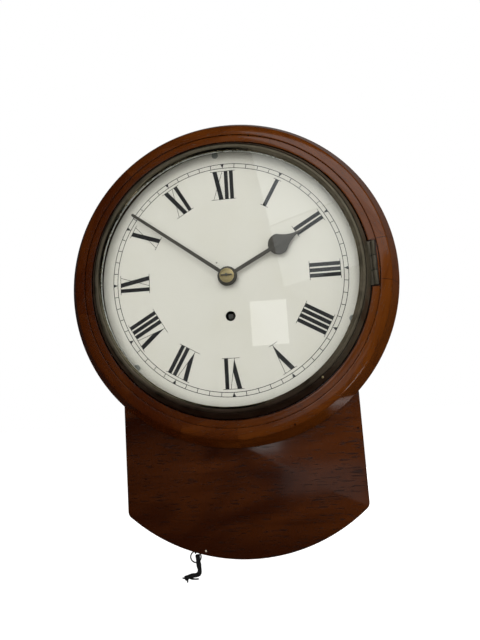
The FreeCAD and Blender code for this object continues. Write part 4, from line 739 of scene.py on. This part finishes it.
# painted reflection: the retainer is pale and scarcely metallic, standing in for a glint of light along its
# inner edge
GLINT_RIM = Brass("retainer_painted_glint", "brass", (0.80, 0.82, 0.79), (0.50, 0.51, 0.48), 0.4, 0.2, True, 0.1)
HINGE_BRASS = Brass(
    "hinge_brass", "brass", (0.150, 0.130, 0.092), (0.060, 0.051, 0.036), 0.55, 0.36, metal=0.45,
    joints=(-8.33, 8.33),
)
# painted shade darkens the movement's brass behind the winding hole
CLOCK_BRASS = Brass(
    "movement_brass", "brass", (0.56, 0.40, 0.16), (0.24, 0.17, 0.075), 0.46, 0.3, stain=(0.0, -46.0, 9.0)
)
GILT = Brass("collet_brass", "brass", (0.72, 0.59, 0.32), (0.46, 0.35, 0.16), 0.42, 0.3, True, 0.1)
STEEL = Steel("clock_steel", "steel")
SCREW_STEEL = Steel("dull_screw_steel", "steel", (0.230, 0.240, 0.220), (0.090, 0.086, 0.070), 0.5, 0.62, 0.3)
BLUED = Steel("hand_steel", "blued_steel", (0.080, 0.073, 0.062), (0.105, 0.092, 0.073), 0.4, 0.66, 0.3)
PAINT = DialPaint("dial_cream", "dial_paint")
INK = DialInk("dial_ink", "dial_paint")
GLASS = Glass("dial_glass", "glass")
LACE = WaxedLace("waxed_lace", "lace")


@dataclass(frozen=True)
class Plane:
    """A drawing plane: its origin and where its two axes point."""

    origin: Vector
    across: Vector
    up: Vector

    def point(self, u: float, v: float) -> Vector:
        """Gives the point at two lengths in millimetres."""
        return self.origin + (self.across * u + self.up * v) * MM

    @property
    def normal(self) -> Vector:
        """Gives the axis about which a turn runs from across to up."""
        return self.across.cross(self.up)


LATHE = Plane(spot(0, 0, 0), Vector((1, 0, 0)), Vector((0, -1, 0)))
Profile = tuple[tuple[float, ...], ...]


class Outline:
    """A chain of edges in the lathe's plane, to be turned round the dial's axis."""

    def __init__(self, profile: Profile) -> None:
        """Draws a profile of radius and depth.

        Args:
            profile: the start, and then the end of each line, or the end, radius and edge count of each arc.
        """
        self.bm = bmesh.new()
        self.here = profile[0]
        self.first = self.last = self.bm.verts.new(LATHE.point(*self.here))
        for step in profile[1:]:
            if len(step) > 2:
                self._arc(*step)
            else:
                self._line(*step)

    def _line(self, u: float, v: float) -> None:
        """Draws a straight edge to a point.

        Args:
            u: the end's length across.
            v: the end's length up.
        """
        vert = self.bm.verts.new(LATHE.point(u, v))
        self.bm.edges.new((self.last, vert))
        self.last, self.here = vert, (u, v)

    def _arc(self, u: float, v: float, radius: float, steps: int) -> None:
        """Draws an arc to a point.

        Args:
            u: the end's length across.
            v: the end's length up.
            radius: the arc's radius, below zero where it turns clockwise.
            steps: the number of edges.
        """
        du, dv = u - self.here[0], v - self.here[1]
        chord = math.hypot(du, dv)
        rise = math.sqrt(radius**2 - chord**2 / 4) * math.copysign(1, radius)
        middle = (self.here[0] + du / 2 - dv / chord * rise, self.here[1] + dv / 2 + du / chord * rise)
        swept = bmesh.ops.spin(
            self.bm, geom=[self.last], cent=LATHE.point(*middle), axis=LATHE.normal,
            angle=2 * math.asin(chord / 2 / radius), steps=steps,
        )
        self.last = next(part for part in swept["geom_last"] if isinstance(part, bmesh.types.BMVert))
        self.last.co = LATHE.point(u, v)
        self.here = (u, v)

    def close(self) -> "Outline":
        """Joins the end of the chain to its start."""
        self.bm.edges.new((self.last, self.first))
        return self

    def turned(self, steps: int = 192) -> BMesh:
        """Turns the chain once round the dial's axis.

        Args:
            steps: the number of steps in the turn.

        Returns:
            The mesh.
        """
        bmesh.ops.spin(
            self.bm, geom=self.bm.verts[:] + self.bm.edges[:], cent=LATHE.origin, axis=(0, 1, 0),
            angle=math.tau, steps=steps, use_merge=True,
        )
        bmesh.ops.remove_doubles(self.bm, verts=self.bm.verts, dist=WELD)
        bmesh.ops.recalc_face_normals(self.bm, faces=self.bm.faces)
        return self.bm


class Bench:
    """Makes pieces out of meshes and CAD nodes, and fixes them to their bodies."""

    @staticmethod
    def meshed(name: str, bm: BMesh) -> bpy.types.Mesh:
        """Makes a mesh.

        Args:
            name: the mesh's name.
            bm: its faces, used up here.

        Returns:
            The mesh.
        """
        mesh = bpy.data.meshes.new(name)
        bm.to_mesh(mesh)
        bm.free()
        return mesh

    @staticmethod
    def placed(name: str, data: bpy.types.ID) -> bpy.types.Object:
        """Puts a new object in the scene, at the origin.

        Args:
            name: the object's name.
            data: its mesh, lamp or camera.

        Returns:
            The object.
        """
        made = bpy.data.objects.new(name, data)
        bpy.context.scene.collection.objects.link(made)
        return made

    @staticmethod
    def smoothed(mesh: bpy.types.Mesh, sharp: float) -> None:
        """Shades a mesh smooth, apart from edges past an angle in degrees."""
        mesh.polygons.foreach_set("use_smooth", [True] * len(mesh.polygons))
        mesh.set_sharp_from_angle(angle=math.radians(sharp))

    @classmethod
    def piece(
        cls,
        name: str,
        bm: BMesh,
        finish: Finish,
        body: str,
        replaces: Iterable[str] = (),
        sharp: float = SHARP_ANGLE,
    ) -> bpy.types.Object:
        """Makes one piece.

        Args:
            name: the piece's name.
            bm: its mesh, used up here.
            finish: its finish.
            body: the body that it rides on.
            replaces: the CAD nodes that it stands for.
            sharp: the angle past which an edge is sharp, in degrees.

        Returns:
            The new object.
        """
        mesh = cls.meshed(name, bm)
        cls.smoothed(mesh, sharp)
        mesh.materials.append(finish.material())
        made = cls.placed(name, mesh)
        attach(made, body)
        if replaces:
            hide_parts(*replaces)
        log.info("%s: %d faces on %s", name, len(mesh.polygons), body)
        return made

    @staticmethod
    def merged(node: str) -> BMesh:
        """Copies a CAD node, with its triangles joined and its flats made whole.

        Args:
            node: the CAD node.

        Returns:
            The copy.
        """
        bm = bmesh.new()
        bm.from_mesh(frame["nodes"][node].data)
        bmesh.ops.remove_doubles(bm, verts=bm.verts, dist=WELD)
        bmesh.ops.dissolve_limit(
            bm, angle_limit=math.radians(FLAT_ANGLE), verts=bm.verts, edges=bm.edges, delimit={"NORMAL"}
        )
        return bm

    @classmethod
    def stand_in(cls, node: str, bm: BMesh, finish: Finish, edge: float = 0.0) -> None:
        """Makes a piece that replaces a CAD node on its own body.

        Args:
            node: the CAD node.
            bm: the piece's mesh, used up here.
            finish: its finish.
            edge: how far its sharp edges are eased, in millimetres.
        """
        if edge:
            limit = math.radians(EASED_ANGLE)
            sharp = [part for part in bm.edges if part.is_manifold and part.calc_face_angle() > limit]
            bmesh.ops.bevel(
                bm, geom=sharp, offset=edge * MM, offset_type="OFFSET", affect="EDGES", segments=2,
                profile=0.5, material=-1, clamp_overlap=True,
            )
        cls.piece(node + "_dressed", bm, finish, frame["nodes"][node]["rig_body"], [node])

    @classmethod
    def refined(cls, finish: Finish, edge: float, *nodes: str) -> None:
        """Makes smooth copies that replace CAD nodes, with sharp edges eased by some millimetres."""
        for node in nodes:
            cls.stand_in(node, cls.merged(node), finish, edge)

    @classmethod
    def carved(cls, made: bpy.types.Object, corner: Vector, far: Vector) -> None:
        """Cuts a box out of a piece.

        Args:
            made: the piece.
            corner: one corner of the box.
            far: the corner across from it.
        """
        bm = bmesh.new()
        stretch = Matrix.Diagonal((*(far - corner), 1.0))
        bmesh.ops.create_cube(bm, size=1.0, matrix=Matrix.Translation((corner + far) / 2) @ stretch)
        bmesh.ops.recalc_face_normals(bm, faces=bm.faces)
        cutter = cls.placed("cutter", cls.meshed("cutter", bm))
        boolean = made.modifiers.new("recess", "BOOLEAN")
        boolean.operation, boolean.object, boolean.solver = "DIFFERENCE", cutter, "EXACT"
        solid = bpy.data.meshes.new_from_object(made.evaluated_get(bpy.context.evaluated_depsgraph_get()))
        made.modifiers.clear()
        made.data = solid
        cls.smoothed(solid, SHARP_ANGLE)
        bpy.data.objects.remove(cutter)

    @staticmethod
    def dress(finish: Finish, *nodes: str) -> None:
        """Gives a finish to CAD nodes that stay as they are.

        Args:
            finish: the finish.
            *nodes: the CAD nodes.
        """
        for node in nodes:
            mesh = frame["nodes"][node].data
            mesh.materials.clear()
            mesh.materials.append(finish.material())
            log.info("%s: %s", node, finish.name)


@dataclass
class Case:
    """The wooden case: front, sides, bottom, doors, back and its ironwork."""

    board_edge: float = 0.9
    door_edge: float = 0.5
    small_edge: float = 0.4

    def build(self) -> None:
        """Dresses the boards, the doors and the fittings."""
        Bench.refined(PANEL_WOOD, self.board_edge, "drop_front")
        Bench.refined(SIDE_WOOD, self.board_edge, "side_left", "side_right", "bottom_boards")
        Bench.refined(SIDE_WOOD, self.door_edge, "bottom_door", "side_door")
        Bench.refined(SIDE_WOOD, self.small_edge, "surround_pegs")
        Bench.refined(DEAL, self.small_edge, "backboard", "top_board", "surround_cheeks")
        Bench.refined(HINGE_BRASS, 0.0, "door_hinges_fixed", "bottom_hinge_moving", "side_hinge_moving")
        Bench.refined(CLOCK_BRASS, self.door_edge, "turn_button")
        Bench.refined(STEEL, 0.0, "hinge_pins", "hanging_plate", "fixing_screws")


@dataclass
class Surround:
    """The turned mahogany ring round the dial."""

    profile: Profile = (
        (132.0, 115.0), (132.0, 135.0), (160.5, 135.0), (163.6, 137.5, -9.0, 4), (163.9, 136.3),
        (164.5, 136.3), (164.5, 140.0), (165.1, 140.6, -0.7, 3), (172.7, 139.9, -24.0, 8), (173.1, 139.1),
        (173.3, 139.1), (173.55, 140.6), (173.95, 141.0, -0.4, 3), (184.49, 138.36, -28.6, 10),
        (187.1, 136.01, -6.0, 6), (197.6, 118.54), (197.75, 117.66, -0.8, 3), (196.42, 115.0),
    )
    hinge_start: float = 158.6
    hinge_end: float = 170.8
    hinge_half: float = 26.6
    hinge_floor: float = 138.9
    hinge_top: float = 150.0

    def build(self) -> None:
        """Turns the ring and lets the bezel hinge into it."""
        ring = Outline(self.profile).close().turned()
        made = Bench.piece("surround_turned", ring, RING_WOOD, "case", ["surround"])
        corner = spot(self.hinge_start, self.hinge_top, -self.hinge_half)
        Bench.carved(made, corner, spot(self.hinge_end, self.hinge_floor, self.hinge_half))


@dataclass
class Bezel:
    """The hinged brass bezel with its glass, retainer and pull stud."""

    profile: Profile = (
        (154.6, 139.0), (162.4, 139.0), (162.8, 139.4, 0.4, 3), (162.8, 141.3), (162.55, 142.2, 1.2, 3),
        (156.75, 152.9), (156.35, 153.2, 0.6, 3), (156.2, 152.7), (155.8, 152.7), (155.6, 153.0),
        (151.3, 153.1, 3.0, 10), (148.7, 150.95, 2.8, 10), (148.7, 150.85), (152.4, 150.75), (152.4, 147.8),
        (154.6, 147.8),
    )
    retainer: Profile = ((154.5, 145.6), (154.5, 147.6), (150.2, 147.6), (150.2, 145.6, 1.0, 8))
    stud_angle: float = 141.5
    stud_place: Span = (157.5, 153.5)
    stud_size: float = 1.5
    stud_dome: float = 0.9
    glass_radius: float = 152.0
    glass_rise: float = 8.0
    glass_faces: Span = (148.0, 150.2)
    glass_arc: int = 24
    glass_steps: int = 160
    leaf_edge: float = 0.2
    leaf_outer: float = 0.3
    leaf_drawn_in: float = 1.3

    def build(self) -> None:
        """Turns the ring, its retainer and the glass, and dresses the hinge."""
        ring = Outline(self.profile).close().turned()
        Bench.piece("bezel_turned", ring, BEZEL_BRASS, "bezel", ["bezel_ring"])
        rim = Outline(self.retainer).close().turned()
        # the retainer's pale finish is a painted reflection
        Bench.piece("retainer_turned", rim, GLINT_RIM, "bezel", ["glass_retainer"])
        self._stud()
        self._glass()
        self._fixed_leaf()
        Bench.refined(HINGE_BRASS, self.leaf_edge, "bezel_hinge_moving")

    def _fixed_leaf(self) -> None:
        """Makes the hinge's leaf on the case, drawn in a little at its outer edge."""
        bm = Bench.merged("bezel_hinge_fixed")
        edge = max(vert.co.x for vert in bm.verts) - self.leaf_outer * MM
        outer = [vert for vert in bm.verts if vert.co.x > edge]
        bmesh.ops.translate(bm, verts=outer, vec=(-self.leaf_drawn_in * MM, 0, 0))
        Bench.stand_in("bezel_hinge_fixed", bm, HINGE_BRASS, self.leaf_edge)

    def _stud(self) -> None:
        """Makes the small domed stud by which the bezel is pulled open."""
        angle = math.radians(self.stud_angle)
        radius, forward = self.stud_place
        foot = spot(radius * math.sin(angle), forward, radius * math.cos(angle))
        bm = bmesh.new()
        bmesh.ops.create_uvsphere(
            bm, u_segments=20, v_segments=12, radius=self.stud_size * MM,
            matrix=Matrix.Translation(foot) @ Matrix.Diagonal((1.0, self.stud_dome, 1.0, 1.0)),
        )
        Bench.piece("bezel_stud", bm, GILT, "bezel")

    def _glass(self) -> None:
        """Turns the convex glass as one thin closed shell."""
        edge, rise, arc = self.glass_radius, self.glass_rise, self.glass_arc
        back, face = self.glass_faces
        sphere = (edge**2 + rise**2) / (2 * rise)
        shell = Outline((
            (0.0, back + rise), (edge, back, -sphere, arc), (edge, face), (0.0, face + rise, sphere, arc),
        ))
        Bench.piece("glass_turned", shell.turned(self.glass_steps), GLASS, "bezel", ["bezel_glass"])


class Letter(Enum):
    """The strokes of a Roman numeral."""

    I = "I"
    V = "V"
    X = "X"


@dataclass
class Dial:
    """The painted dial with its printed hours and minutes."""

    screw_edge: float = 0.15
    face: float = 136.6
    ink: float = 0.05
    foot: float = 95.0
    head: float = 129.5
    thick: float = 4.55
    bold: float = 5.3
    hair: float = 0.6
    gap: float = 1.75
    v_width: float = 12.9
    v_shift: float = 0.2
    x_width: float = 12.0
    serif: float = 2.7
    track_inner: float = 133.5
    track_outer: float = 138.6
    track_line: float = 0.76
    track_segments: int = 180
    arrow_half: float = 1.9
    arrow_more: float = 0.4
    lean: float = 0.74
    hours: tuple[str, ...] = ("XII", "I", "II", "III", "IIII", "V", "VI", "VII", "VIII", "IX", "X", "XI")

    def build(self) -> None:
        """Dresses the plate and prints the hours and the minute track."""
        Bench.refined(PAINT, 0.0, "dial_plate")
        Bench.refined(SCREW_STEEL, self.screw_edge, "dial_screws")
        Bench.dress(CLOCK_BRASS, "dial_feet")
        self._print()

    def _print(self) -> None:
        """Makes all the printing as one thin sheet of ink on the dial."""
        bm = bmesh.new()
        for hour, word in enumerate(self.hours):
            self._numeral(bm, hour * math.tau / 12, word)
        for radius in (self.track_inner, self.track_outer):
            self._circle(bm, radius)
        for minute in range(60):
            self._division(bm, minute * math.tau / 60, minute % 5 == 0)
        raised = bmesh.ops.extrude_face_region(bm, geom=bm.faces[:])["geom"]
        top = [part for part in raised if isinstance(part, bmesh.types.BMVert)]
        bmesh.ops.translate(bm, verts=top, vec=(0, -self.ink * MM, 0))
        bmesh.ops.recalc_face_normals(bm, faces=bm.faces)
        Bench.piece("dial_print", bm, INK, "case")

    def _plane(self, angle: float) -> Plane:
        """Gives the drawing plane at a place on the dial.

        Args:
            angle: the place, clockwise from the top.

        Returns:
            The plane, whose axes point across the radius and outwards.
        """
        angle += math.radians(self.lean)
        across = Vector((math.cos(angle), 0, -math.sin(angle)))
        return Plane(spot(0, self.face, 0), across, Vector((math.sin(angle), 0, math.cos(angle))))

    def _patch(self, bm: BMesh, plane: Plane, *corners: Span) -> None:
        """Adds one flat face with the given corners."""
        bmesh.ops.contextual_create(bm, geom=[bm.verts.new(plane.point(*corner)) for corner in corners])

    def _numeral(self, bm: BMesh, angle: float, word: str) -> None:
        """Draws one numeral with its serifs.

        Args:
            bm: the printing so far.
            angle: the numeral's place, clockwise from the top.
            word: its letters, with their feet towards the centre.
        """
        widths = {Letter.I: self.thick, Letter.V: self.v_width, Letter.X: self.x_width}
        letters = [Letter(sign) for sign in word]
        plane = self._plane(angle)
        total = sum(widths[letter] for letter in letters) + self.gap * (len(letters) - 1)
        left = -total / 2
        narrow = (self.v_width - self.bold) / 2
        for level, out in ((self.foot, -1), (self.head, 1)):
            pointed = [letter is Letter.V and out < 0 for letter in (letters[0], letters[-1])]
            start = left - self.serif + narrow * pointed[0]
            end = left + total + self.serif - narrow * pointed[1]
            edge = level + out * self.hair
            self._patch(bm, plane, (start, level), (end, level), (end, edge), (start, edge))
        for letter in letters:
            self._letter(bm, plane, letter, left, left + widths[letter])
            left += widths[letter] + self.gap

    def _letter(self, bm: BMesh, plane: Plane, letter: Letter, left: float, right: float) -> None:
        """Draws the strokes of one letter.

        Args:
            bm: the printing so far.
            plane: the numeral's plane.
            letter: the letter.
            left: its left side, in millimetres across the plane.
            right: its right side.
        """
        foot, head, thick, hair = self.foot, self.head, self.bold, self.hair
        if letter is Letter.I:
            self._patch(bm, plane, (left, foot), (right, foot), (right, head), (left, head))
        elif letter is Letter.X:
            self._patch(bm, plane, (left, head), (left + thick, head), (right, foot), (right - thick, foot))
            self._patch(bm, plane, (left, foot), (left + hair, foot), (right, head), (right - hair, head))
        else:
            apex = (left + right) / 2 + thick * self.v_shift
            down = 1 - thick / (right - left)
            meet = (left + thick + down * (apex - left), head + down * (foot - head))
            self._patch(bm, plane, (left, head), (left + thick, head), meet, (apex, foot))
            self._patch(bm, plane, (right, head), (right - hair, head), (apex - hair, foot), (apex, foot))

    def _circle(self, bm: BMesh, radius: float) -> None:
        """Draws a thin ring of the minute track.

        Args:
            bm: the printing so far.
            radius: the ring's middle line, in millimetres.
        """
        loops: list[bmesh.types.BMEdge] = []
        for side in (-0.5, 0.5):
            made = bmesh.ops.create_circle(
                bm, segments=self.track_segments, radius=(radius + side * self.track_line) * MM,
                matrix=Matrix.Translation(spot(0, self.face, 0)) @ Matrix.Rotation(math.pi / 2, 4, "X"),
            )["verts"]
            loops += dict.fromkeys(edge for vert in made for edge in vert.link_edges)
        bmesh.ops.bridge_loops(bm, edges=loops)

    def _division(self, bm: BMesh, angle: float, fifth: bool) -> None:
        """Draws a minute line, or an arrow at a fifth minute.

        Args:
            bm: the printing so far.
            angle: its place, clockwise from the top.
            fifth: whether it is a fifth minute.
        """
        plane = self._plane(angle)
        half, arrow = self.track_line / 2, self.arrow_half
        inner, outer = self.track_inner + half, self.track_outer - half
        if fifth:
            self._patch(bm, plane, (-arrow, outer), (arrow, outer), (0.0, inner - self.arrow_more))
        else:
            self._patch(bm, plane, (-half, inner), (half, inner), (half, outer), (-half, outer))


@dataclass
class Hands:
    """The blued hands, the domed collet and its pin."""

    edge: float = 0.28
    minute_angle: float = 308.1
    minute_back: float = 0.45
    minute_more: float = 4.0
    tip_from: float = 100.0

    def build(self) -> None:
        """Dresses the hands and what holds them."""
        Bench.refined(BLUED, self.edge, "hour_hand")
        self._minute_hand()
        Bench.refined(GILT, 0.0, "hand_collet")
        Bench.refined(STEEL, 0.0, "collet_pin")

    def _minute_hand(self) -> None:
        """Draws the minute hand's tip out to the track's outer line and sets it back a hair."""
        bm = Bench.merged("minute_hand")
        angle = math.radians(self.minute_angle)
        way, centre = Vector((math.sin(angle), 0, math.cos(angle))), spot(0, 0, 0)
        tip = [vert for vert in bm.verts if (vert.co - centre).dot(way) > self.tip_from * MM]
        bmesh.ops.translate(bm, verts=tip, vec=way * self.minute_more * MM)
        back = Matrix.Rotation(-math.radians(self.minute_back), 3, "Y")
        bmesh.ops.rotate(bm, verts=bm.verts, cent=centre, matrix=back)
        Bench.stand_in("minute_hand", bm, BLUED, self.edge)


@dataclass
class Movement:
    """The fusee movement and its pendulum."""

    plate_edge: float = 0.3

    def build(self) -> None:
        """Dresses plates, wheels, arbors and the pendulum."""
        Bench.refined(CLOCK_BRASS, self.plate_edge, "front_plate", "back_plate")
        Bench.refined(
            CLOCK_BRASS, 0.0, "pillars", "fusee", "barrel", "back_cock", "pendulum_bob", "rating_nut",
            "hour_bridge",
        )
        Bench.dress(
            CLOCK_BRASS, "great_wheel", "hour_wheel", "cannon_wheel", "minute_wheel", "friction_spring"
        )
        Bench.dress(STEEL, "centre_wheel", "third_wheel", "escape_wheel", "movement_pins", "setup_work")
        Bench.refined(
            STEEL, 0.0, "winding_arbor", "barrel_arbor", "mainspring", "pallets", "crutch",
            "suspension_spring", "pendulum_rod", "fusee_line",
        )


@dataclass
class Bundle:
    """Twisted strands along a line, with the share of the diameter that is left at the far end."""

    line: list[Vector]
    diameter: float
    strands: int
    taper: float
    twist: float = 0.5
    strand_sides: int = 6
    girth: float = 1.1
    swell: float = 0.08
    swell_rate: float = 0.7
    valley: float = 0.88
    ridge: float = 0.14

    def swept(self) -> BMesh:
        """Sweeps the bundle along its line.

        Returns:
            The closed mesh.
        """
        bm = bmesh.new()
        line = self.line
        steps = list(zip(line, line[1:] + [line[-1] * 2 - line[-2]]))
        turn = Vector((0, 0, 1)).rotation_difference(steps[0][1] - steps[0][0])
        first = bmesh.ops.create_circle(
            bm, cap_ends=True, segments=self.strands * self.strand_sides, radius=1.0,
            matrix=Matrix.Translation(line[0]) @ turn.to_matrix().to_4x4(),
        )["verts"]
        ring = sorted(first, key=lambda vert: vert.index)
        edges = list(dict.fromkeys(edge for vert in ring for edge in vert.link_edges))
        gone = 0.0
        for place, (here, ahead) in enumerate(steps):
            if place:
                raised = bmesh.ops.extrude_edge_only(bm, edges=edges)["geom"]
                ring = [part for part in raised if isinstance(part, bmesh.types.BMVert)]
                edges = [part for part in raised if isinstance(part, bmesh.types.BMEdge)
                         and all(vert in ring for vert in part.verts)]
                last = steps[place - 1][0]
                before = steps[place - 1][1] - last
                swing = before.rotation_difference(ahead - here)
                gone += before.length / MM
                bmesh.ops.translate(bm, verts=ring, vec=here - last)
                bmesh.ops.rotate(bm, verts=ring, cent=here, matrix=swing.to_matrix())
            side = (ahead - here).orthogonal().normalized()
            other = (ahead - here).cross(side).normalized()
            thinned = 1 - (1 - self.taper) * place / (len(steps) - 1)
            swollen = self.girth + self.swell * math.sin(gone * self.swell_rate)
            width = self.diameter / 2 * MM * thinned * swollen
            for vert in ring:
                out = vert.co - here
                angle = math.atan2(out.dot(other), out.dot(side)) + gone * self.twist / self.diameter
                lobe = self.valley + self.ridge * abs(math.cos(angle * self.strands / 2))
                vert.co = here + out.normalized() * width * lobe
        bmesh.ops.holes_fill(bm, edges=edges)
        bmesh.ops.recalc_face_normals(bm, faces=bm.faces)
        return bm


@dataclass
class Pull:
    """The ring under the bottom door and the lace tied to it."""

    start: Point = (-64.5, 103.6, -321.598)
    route: tuple[Point, ...] = (
        (3.0, 0.3, 3.5), (3.4, 0.0, -5.5), (5.4, 0.2, -18.6), (-7.6, 0.3, -19.4), (-13.0, 0.0, -22.4),
    )
    diameter: float = 5.0
    strands: int = 4
    taper: float = 0.9
    ends: tuple[tuple[Point, ...], ...] = (
        ((-9.4, 0.4, -20.6), (-12.6, 0.6, -22.6), (-16.3, 0.4, -21.5)),
        ((-9.6, 0.4, -21.4), (-11.0, 0.6, -24.4), (-10.1, 0.4, -26.7)),
        ((-8.0, 0.4, -21.0), (-4.0, 0.8, -23.8), (2.9, 0.4, -22.9)),
    )
    end_diameter: float = 2.3
    end_strands: int = 3
    end_taper: float = 0.6

    def build(self) -> None:
        """Dresses the ring and its eye, and ties the lace to it."""
        Bench.refined(STEEL, 0.0, "pull_ring", "pull_eye")
        line = self._line("lace_line", self.route)
        bundle = Bundle(line, self.diameter, self.strands, self.taper)
        lace = Bench.piece("lace_bundle", bundle.swept(), LACE, "pull", ["lace"], LACE_ANGLE)
        tails = bmesh.new()
        for end in self.ends:
            route = self._line("lace_end_line", end)
            tail = Bundle(route, self.end_diameter, self.end_strands, self.end_taper).swept()
            mesh = Bench.meshed("tail", tail)
            tails.from_mesh(mesh)
            bpy.data.meshes.remove(mesh)
        frayed = Bench.piece("lace_ends", tails, LACE, "pull", (), LACE_ANGLE)

    def _line(self, name: str, route: Sequence[Point]) -> list[Vector]:
        """Draws a smooth curve.

        Args:
            name: the curve's name while it is drawn.
            route: its control points, in millimetres from the start.

        Returns:
            The points along it.
        """
        curve = bpy.data.curves.new(name, "CURVE")
        curve.dimensions = "3D"
        spline = curve.splines.new("NURBS")
        spline.points.add(len(route) - 1)
        for point, step in zip(spline.points, route):
            point.co = (*spot(*(base + move for base, move in zip(self.start, step))), 1.0)
        spline.order_u = 3
        spline.use_endpoint_u = True
        spline.resolution_u = 12
        carrier = bpy.data.objects.new(name, curve)
        mesh = bpy.data.meshes.new_from_object(carrier)
        points = [vert.co.copy() for vert in mesh.vertices]
        bpy.data.objects.remove(carrier)
        bpy.data.meshes.remove(mesh)
        return points


@dataclass(frozen=True)
class Panel:
    """A bright sheet in the room, which lights the clock and, where mirrored, shows in its polish."""

    name: str
    place: Point
    size: Span
    glow: float
    faces: Point = (0.0, 1.0, 0.0)
    mirrored: bool = True
    colour: Colour = WHITE
    lean: float = 0.0

    def hang(self) -> None:
        """Hangs the sheet as a soft lamp that the camera itself doesn't see."""
        lamp = bpy.data.lights.new(self.name, "AREA")
        lamp.shape = "RECTANGLE"
        lamp.size, lamp.size_y = self.size
        lamp.color = self.colour
        lamp.energy = math.pi * self.size[0] * self.size[1] * self.glow
        holder = Bench.placed(self.name, lamp)
        turn = Vector(self.faces).to_track_quat("-Z", "Y").to_matrix().to_4x4()
        lean = Matrix.Rotation(math.radians(self.lean), 4, "Z")
        holder.matrix_world = Matrix.Translation(self.place) @ turn @ lean
        holder.visible_camera = False
        holder.visible_glossy = self.mirrored


WINDOW_WAY: Point = (-0.43, 0.90, 0.0)
DAYLIGHT: Colour = (0.93, 0.98, 1.0)
WINDOW_LEAN = 9.0


@dataclass
class Studio:
    """The camera, the lights and the pale surroundings."""

    eye: Point = (0.07525, -0.7046, -0.26574)
    turn: Point = (0.125, 0.0754, 0.1175)
    lens: float = 28.125
    sensor: float = 36.0
    nearest: float = 0.01
    floor_height: float = -0.95
    floor_half: Span = (9.0, 5.3)
    floor_front: float = -1.0
    floor_grey: Colour = (0.45, 0.45, 0.45)
    floor_shade: float = 0.7
    floor_shaded: Span = (500.0, 2200.0)
    dusk: float = 0.008
    wall: float = 0.12
    wall_back: Span = (0.15, 0.8)
    wall_up: Span = (-0.2, 0.6)
    wall_across: Span = (-0.8, 0.1)
    panels: tuple[Panel, ...] = (
        Panel("window", (1.15, -1.467, 1.57), (2.55, 1.5), 0.95, WINDOW_WAY, True, DAYLIGHT, WINDOW_LEAN),
        Panel("sill", (1.29, -1.399, 0.57), (2.55, 0.5), 0.6, WINDOW_WAY, True, DAYLIGHT, WINDOW_LEAN),
        Panel("card", (0.06, -2.0, -0.13), (0.28, 0.34), 1.5),
        Panel("low_card", (0.62, -2.0, -0.86), (1.1, 0.8), 0.25),
        Panel("glint", (0.78, -0.50, -0.80), (0.07, 0.24), 7.0, (-0.65, 0.36, 0.52)),
        Panel("sky", (-0.7, -3.0, 1.5), (3.4, 3.4), 2.2, (0.7, 2.86, -1.64), False),
        Panel("room", (-0.6, -3.0, -0.1), (5.0, 4.0), 1.6, mirrored=False),
        Panel("side", (2.2, -1.0, 0.5), (1.6, 1.6), 3.0, (-2.2, 0.86, -0.64), False),
        Panel("rear", (0.8, 2.6, 0.8), (4.0, 4.0), 1.6, (-0.3, -1.0, -0.35), False),
    )

    def build(self) -> None:
        """Sets up the camera, the room, the bright sheets and the floor."""
        self._camera()
        self._room()
        for panel in self.panels:
            panel.hang()
        self._floor()
        bpy.context.scene.view_settings.view_transform = "Standard"

    def _camera(self) -> None:
        """Places the camera where the photograph was taken."""
        camera = bpy.data.cameras.new("camera")
        camera.lens, camera.sensor_width, camera.clip_start = self.lens, self.sensor, self.nearest
        holder = Bench.placed("camera", camera)
        spin = Vector(self.turn)
        level = Matrix.Rotation(math.pi / 2, 3, "X")
        turned = Quaternion(spin.normalized(), spin.length).to_matrix() @ level
        holder.matrix_world = Matrix.Translation(self.eye) @ turned.to_4x4()
        bpy.context.scene.camera = holder

    def _room(self) -> None:
        """Makes a dim room with a paler wall behind the clock, and a white background for the camera."""
        world = bpy.data.worlds.new("room")
        bpy.context.scene.world = world
        recipe = Recipe(world)
        glossy = recipe.node("ShaderNodeLightPath", output="Is Glossy Ray")
        across, back, up = recipe.axes(recipe.node("ShaderNodeTexCoord", output="Generated"))
        behind = back.step(*self.wall_back) * up.step(*self.wall_up) * across.step(*self.wall_across)
        strength = self.dusk + glossy * behind * self.wall
        strength = strength + recipe.seen() * (1.0 - strength)
        light = recipe.node("ShaderNodeBackground", inputs={"Color": WHITE, "Strength": strength})
        recipe.node("ShaderNodeOutputWorld", inputs={"Surface": light})

    def _floor(self) -> None:
        """Lays a pale floor that keeps the clock's shadow."""
        half, deep = self.floor_half
        bm = bmesh.new()
        middle = Matrix.Translation((0, self.floor_front + deep, self.floor_height))
        bmesh.ops.create_grid(
            bm, x_segments=1, y_segments=1, size=1.0, matrix=middle @ Matrix.Diagonal((half, deep, 1.0, 1.0))
        )
        mesh = Bench.meshed("floor", bm)
        material = bpy.data.materials.new("pale_floor")
        recipe = Recipe(material)
        x, y, _ = recipe.axes(recipe.place())
        far = (x * x + y * y).root().step(*self.floor_shaded)
        matt = recipe.node("ShaderNodeBsdfDiffuse", inputs={"Color": self.floor_grey})
        strength = recipe.seen() * (self.floor_shade + far * (1.0 - self.floor_shade))
        glow = recipe.node("ShaderNodeEmission", inputs={"Color": WHITE, "Strength": strength})
        both = recipe.node("ShaderNodeAddShader", inputs={0: matt, 1: glow})
        recipe.node("ShaderNodeOutputMaterial", inputs={"Surface": both})
        mesh.materials.append(material)
        floor = Bench.placed("floor", mesh)
        floor.visible_glossy = False


def main() -> None:
    """Builds the clock piece by piece."""
    for part in (Studio(), Pull(), Case(), Surround(), Bezel(), Dial(), Hands(), Movement()):
        log.info("building %s", type(part).__name__)
        part.build()


if __name__ == "__main__":
    main()
